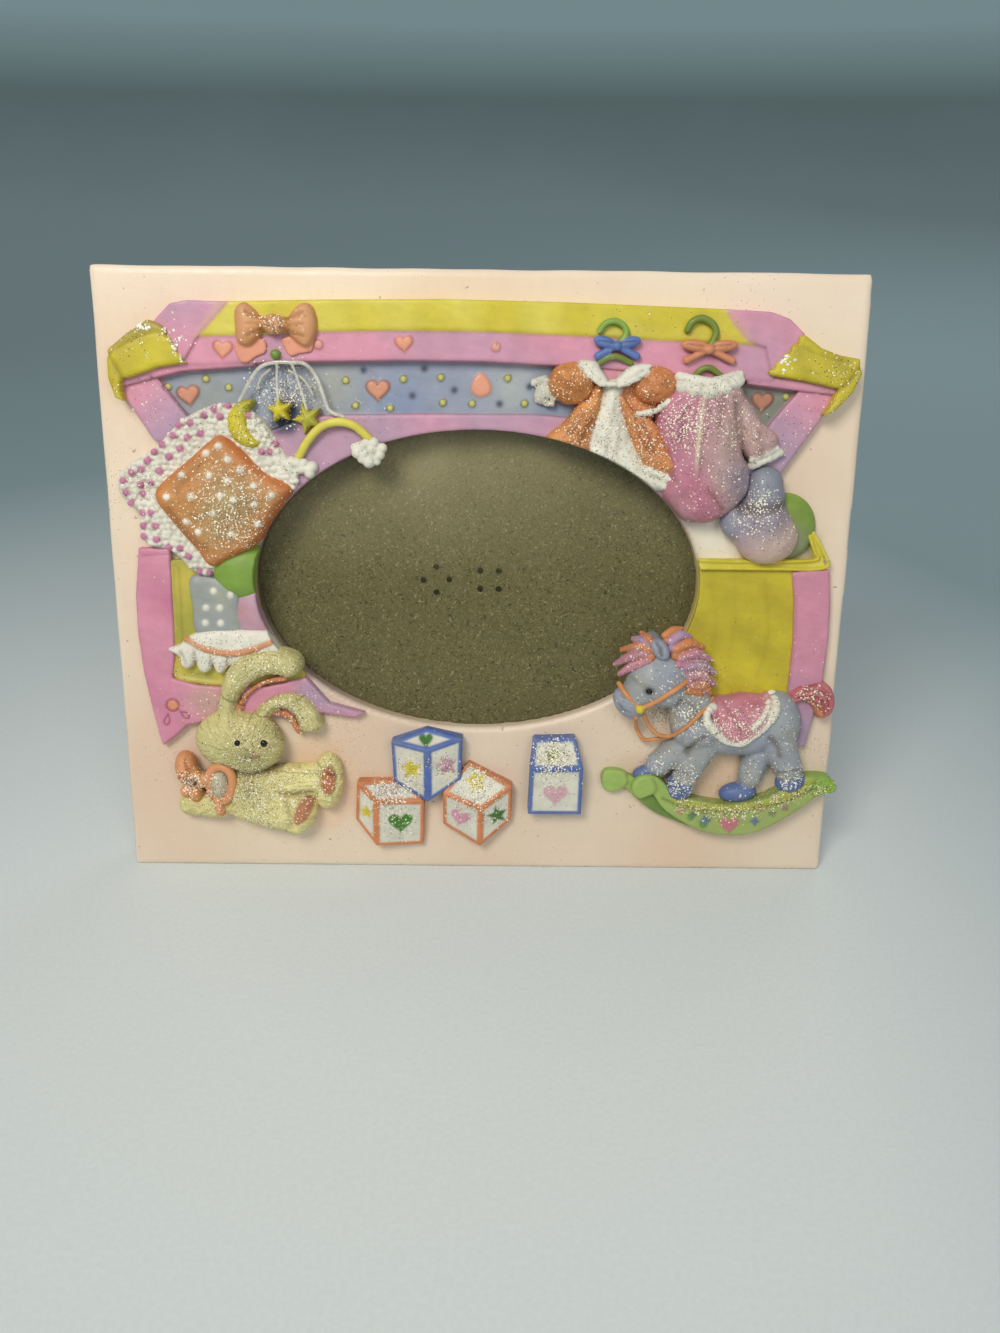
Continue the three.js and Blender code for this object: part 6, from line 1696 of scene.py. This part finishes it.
def torn_rims_and_hole_shade(name, places, sides=16):
    """Ragged dark rims round the prongs that come through the board, each open to a side: torn fibre, and the
    painted shade of the holes.
    """
    a = np.arange(sides) * 2 * np.pi / sides
    points, faces, tints = [], [], []
    for u, v in places:
        lean = RNG.uniform(0, 2 * np.pi)
        hole = 0.3 * np.array((math.cos(lean), math.sin(lean)))
        inner = RNG.uniform(0.08, 0.2, sides)
        outer = RNG.uniform(0.42, 0.7, sides) + 0.4 * np.maximum(np.cos(a - RNG.uniform(0, 7)), 0)
        first = len(points)
        for r, h, (du, dv) in ((inner, 0.0, hole), (inner, 0.09, hole), (outer, 0.07, (0, 0)),
                               (outer, 0.0, (0, 0))):
            points += list(np.stack([u + du + r * np.cos(a), v + dv + r * np.sin(a),
                                     np.full(sides, BOARD_FACE + 0.02 + h)], 1))
        # Near-black in the middle and dark brown outside: painted shade of each hole, with torn fibre round
        # it
        tints += [linear(26, 22, 14)] * 2 * sides + [linear(58, 50, 32)] * 2 * sides
        for k in range(4):
            low, up = first + k * sides, first + (k + 1) % 4 * sides
            faces += [(low + i, up + i, up + (i + 1) % sides, low + (i + 1) % sides) for i in range(sides)]
    made = mesh_object(name, np.array(points), faces, TORN_AND_HOLE_SHADE, np.array(tints), False)


def plate_place(point):
    """From metres in the scene to millimetres on the plate's frame."""
    return (np.array(point) - BASE) @ (AXES / MM**2).T


for name, start in (("board_rivet_left", 0), ("board_rivet_right", 45)):
    low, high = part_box(name)
    u, v, _ = plate_place((low + high) / 2)
    prongs = [(u + PRONG_CIRCLE * math.cos(a), WINDOW[1] + PRONG_CIRCLE * math.sin(a))
              for a in np.radians(start + np.arange(4) * 90)]
    torn_rims_and_hole_shade(name.replace("rivet", "tears_and_hole_shade"), prongs)


# Floor, light and camera

def floor_paint():
    """Pale near the frame and darker away from it and to its right, a painted pool of light, with a soft dark
    fold where the backdrop rises. The rising part shows to the camera and in reflections, and lets the light
    by."""
    pale_reach, dark_reach = 0.08, 0.44
    fold_low, fold_high, wall_low = 0.1, 0.24, 0.34
    tree = material("floor_paint")
    weave = tree.noise(tree.place(), 900, 4)
    base = tree.mix(tree.spread(weave, 0, 1), rgba(linear(214, 221, 220)), rgba(linear(220, 227, 226)))
    spot = tree.add("TexCoord").outputs["Object"]
    across, up = (tree.add("SeparateXYZ", Vector=spot).outputs[axis] for axis in "XZ")
    # Painted light: the floor darkens away from the frame and to its right
    right = tree.math("MAXIMUM", tree.math("SUBTRACT", across, pale_reach), 0.0)
    right = tree.math("MULTIPLY", right, 0.9)
    reach = tree.add("VectorMath", {"operation": "LENGTH"}, Vector=spot).outputs["Value"]
    away = tree.math("ADD", reach, right)
    base = tree.mix(tree.between(away, pale_reach, dark_reach, 0, 1), base, rgba(linear(146, 168, 172)))
    uneven = tree.between(tree.noise(spot, 3, 3), 0, 1, -0.05, 0.05)
    fold = tree.between(tree.math("ADD", up, uneven), fold_low, fold_high, 0, 1)
    base = tree.mix(fold, base, rgba(linear(128, 150, 150)))
    base = tree.mix(tree.between(up, fold_high, wall_low, 0, 1), base, rgba(linear(176, 206, 210)))
    cloth = tree.add("BsdfPrincipled", Base_Color=base, Roughness=0.9, Specular_IOR_Level=0.1,
                     Normal=tree.bump(weave, 0.0003, 0.1))
    rays = tree.add("LightPath").outputs
    looked_at = tree.math("MAXIMUM", rays["Is Camera Ray"],
                          tree.math("MAXIMUM", rays["Is Glossy Ray"], rays["Is Transmission Ray"]))
    solid = tree.math("MAXIMUM", looked_at, tree.math("LESS_THAN", up, 0.01))
    return tree.done(tree.shaders(solid, tree.add("BsdfTransparent", Color=(1, 1, 1, 1)), cloth))


def bowl(reach, rise, bend, sides=72):
    """A round floor that bends up into a backdrop all round."""
    flat = reach - bend
    line = [(0.3 * flat, 0.0), (flat, 0.0)]
    line += [(flat + bend * math.sin(t), bend * (1 - math.cos(t)))
             for t in np.linspace(0.06, math.pi / 2, 24)]
    line += [(reach, rise)]
    turns = np.arange(sides) * 2 * math.pi / sides
    verts = [(r * math.cos(t), r * math.sin(t), z) for r, z in line for t in turns]
    faces = [tuple(range(sides))]
    for k in range(0, (len(line) - 1) * sides, sides):
        faces += [(k + i, k + sides + i, k + sides + (i + 1) % sides, k + (i + 1) % sides)
                  for i in range(sides)]
    mesh = bpy.data.meshes.new("floor")
    mesh.from_pydata(verts, [], faces)
    mesh.polygons.foreach_set("use_smooth", np.full(len(mesh.polygons), True))
    mesh.materials.append(floor_paint())
    made = bpy.data.objects.new("floor", mesh)
    bpy.context.scene.collection.objects.link(made)
    made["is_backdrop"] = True


bowl(reach=1.7, rise=2.2, bend=0.8)


def lamp(name, place, target, size, power, colour):
    """A round soft light that faces a target."""
    data = bpy.data.lights.new(name, "AREA")
    data.shape = "DISK"
    data.size = size
    data.energy = power
    data.color = colour
    made = bpy.data.objects.new(name, data)
    made.location = place
    made.rotation_euler = (Vector(target) - Vector(place)).to_track_quat("-Z", "Y").to_euler()
    bpy.context.scene.collection.objects.link(made)


lamp("key", (-0.20, -0.40, 0.52), (0, 0, 0.08), 0.26, 2.3, (1.0, 0.95, 0.87))
lamp("fill", (0.34, -0.8, 0.56), (0, 0, 0.08), 0.38, 1.25, (0.97, 0.98, 1.0))
lamp("rear", (0.5, 0.9, 0.6), (0, 0, 0.06), 0.6, 1.4, (1.0, 1.0, 1.0))

# Soft light from all round, with a darker backdrop for the camera and in reflections
studio = Tree(bpy.data.worlds.new("studio"))
rays = studio.add("LightPath").outputs
looked_at = studio.math("MAXIMUM", rays["Is Camera Ray"], rays["Is Glossy Ray"])
light = studio.add("Background", Color=(0.95, 0.97, 1.0, 1), Strength=0.36)
backdrop = studio.add("Background", Color=rgba(linear(110, 132, 136)))
bpy.context.scene.world = studio.done(studio.shaders(looked_at, light, backdrop), "OutputWorld")

camera_data = bpy.data.cameras.new("camera")
camera_data.sensor_width = SENSOR_MM
camera_data.lens = LENS_MM
camera_data.clip_start = CLIP_START
camera = bpy.data.objects.new("camera", camera_data)
bpy.context.scene.collection.objects.link(camera)
turn = Vector([math.radians(a) for a in VIEW_TURN])
spin = Matrix.Rotation(turn.length, 3, turn.normalized())
looking = spin @ Matrix((RIGHT, -UP, -OUT))
pose = Matrix((looking[0], -looking[1], -looking[2])).transposed().to_4x4()
pose.translation = Vector(to_world(EYE))
camera.matrix_world = pose
bpy.context.scene.camera = camera

bpy.context.scene.view_settings.view_transform = "Standard"

low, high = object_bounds()
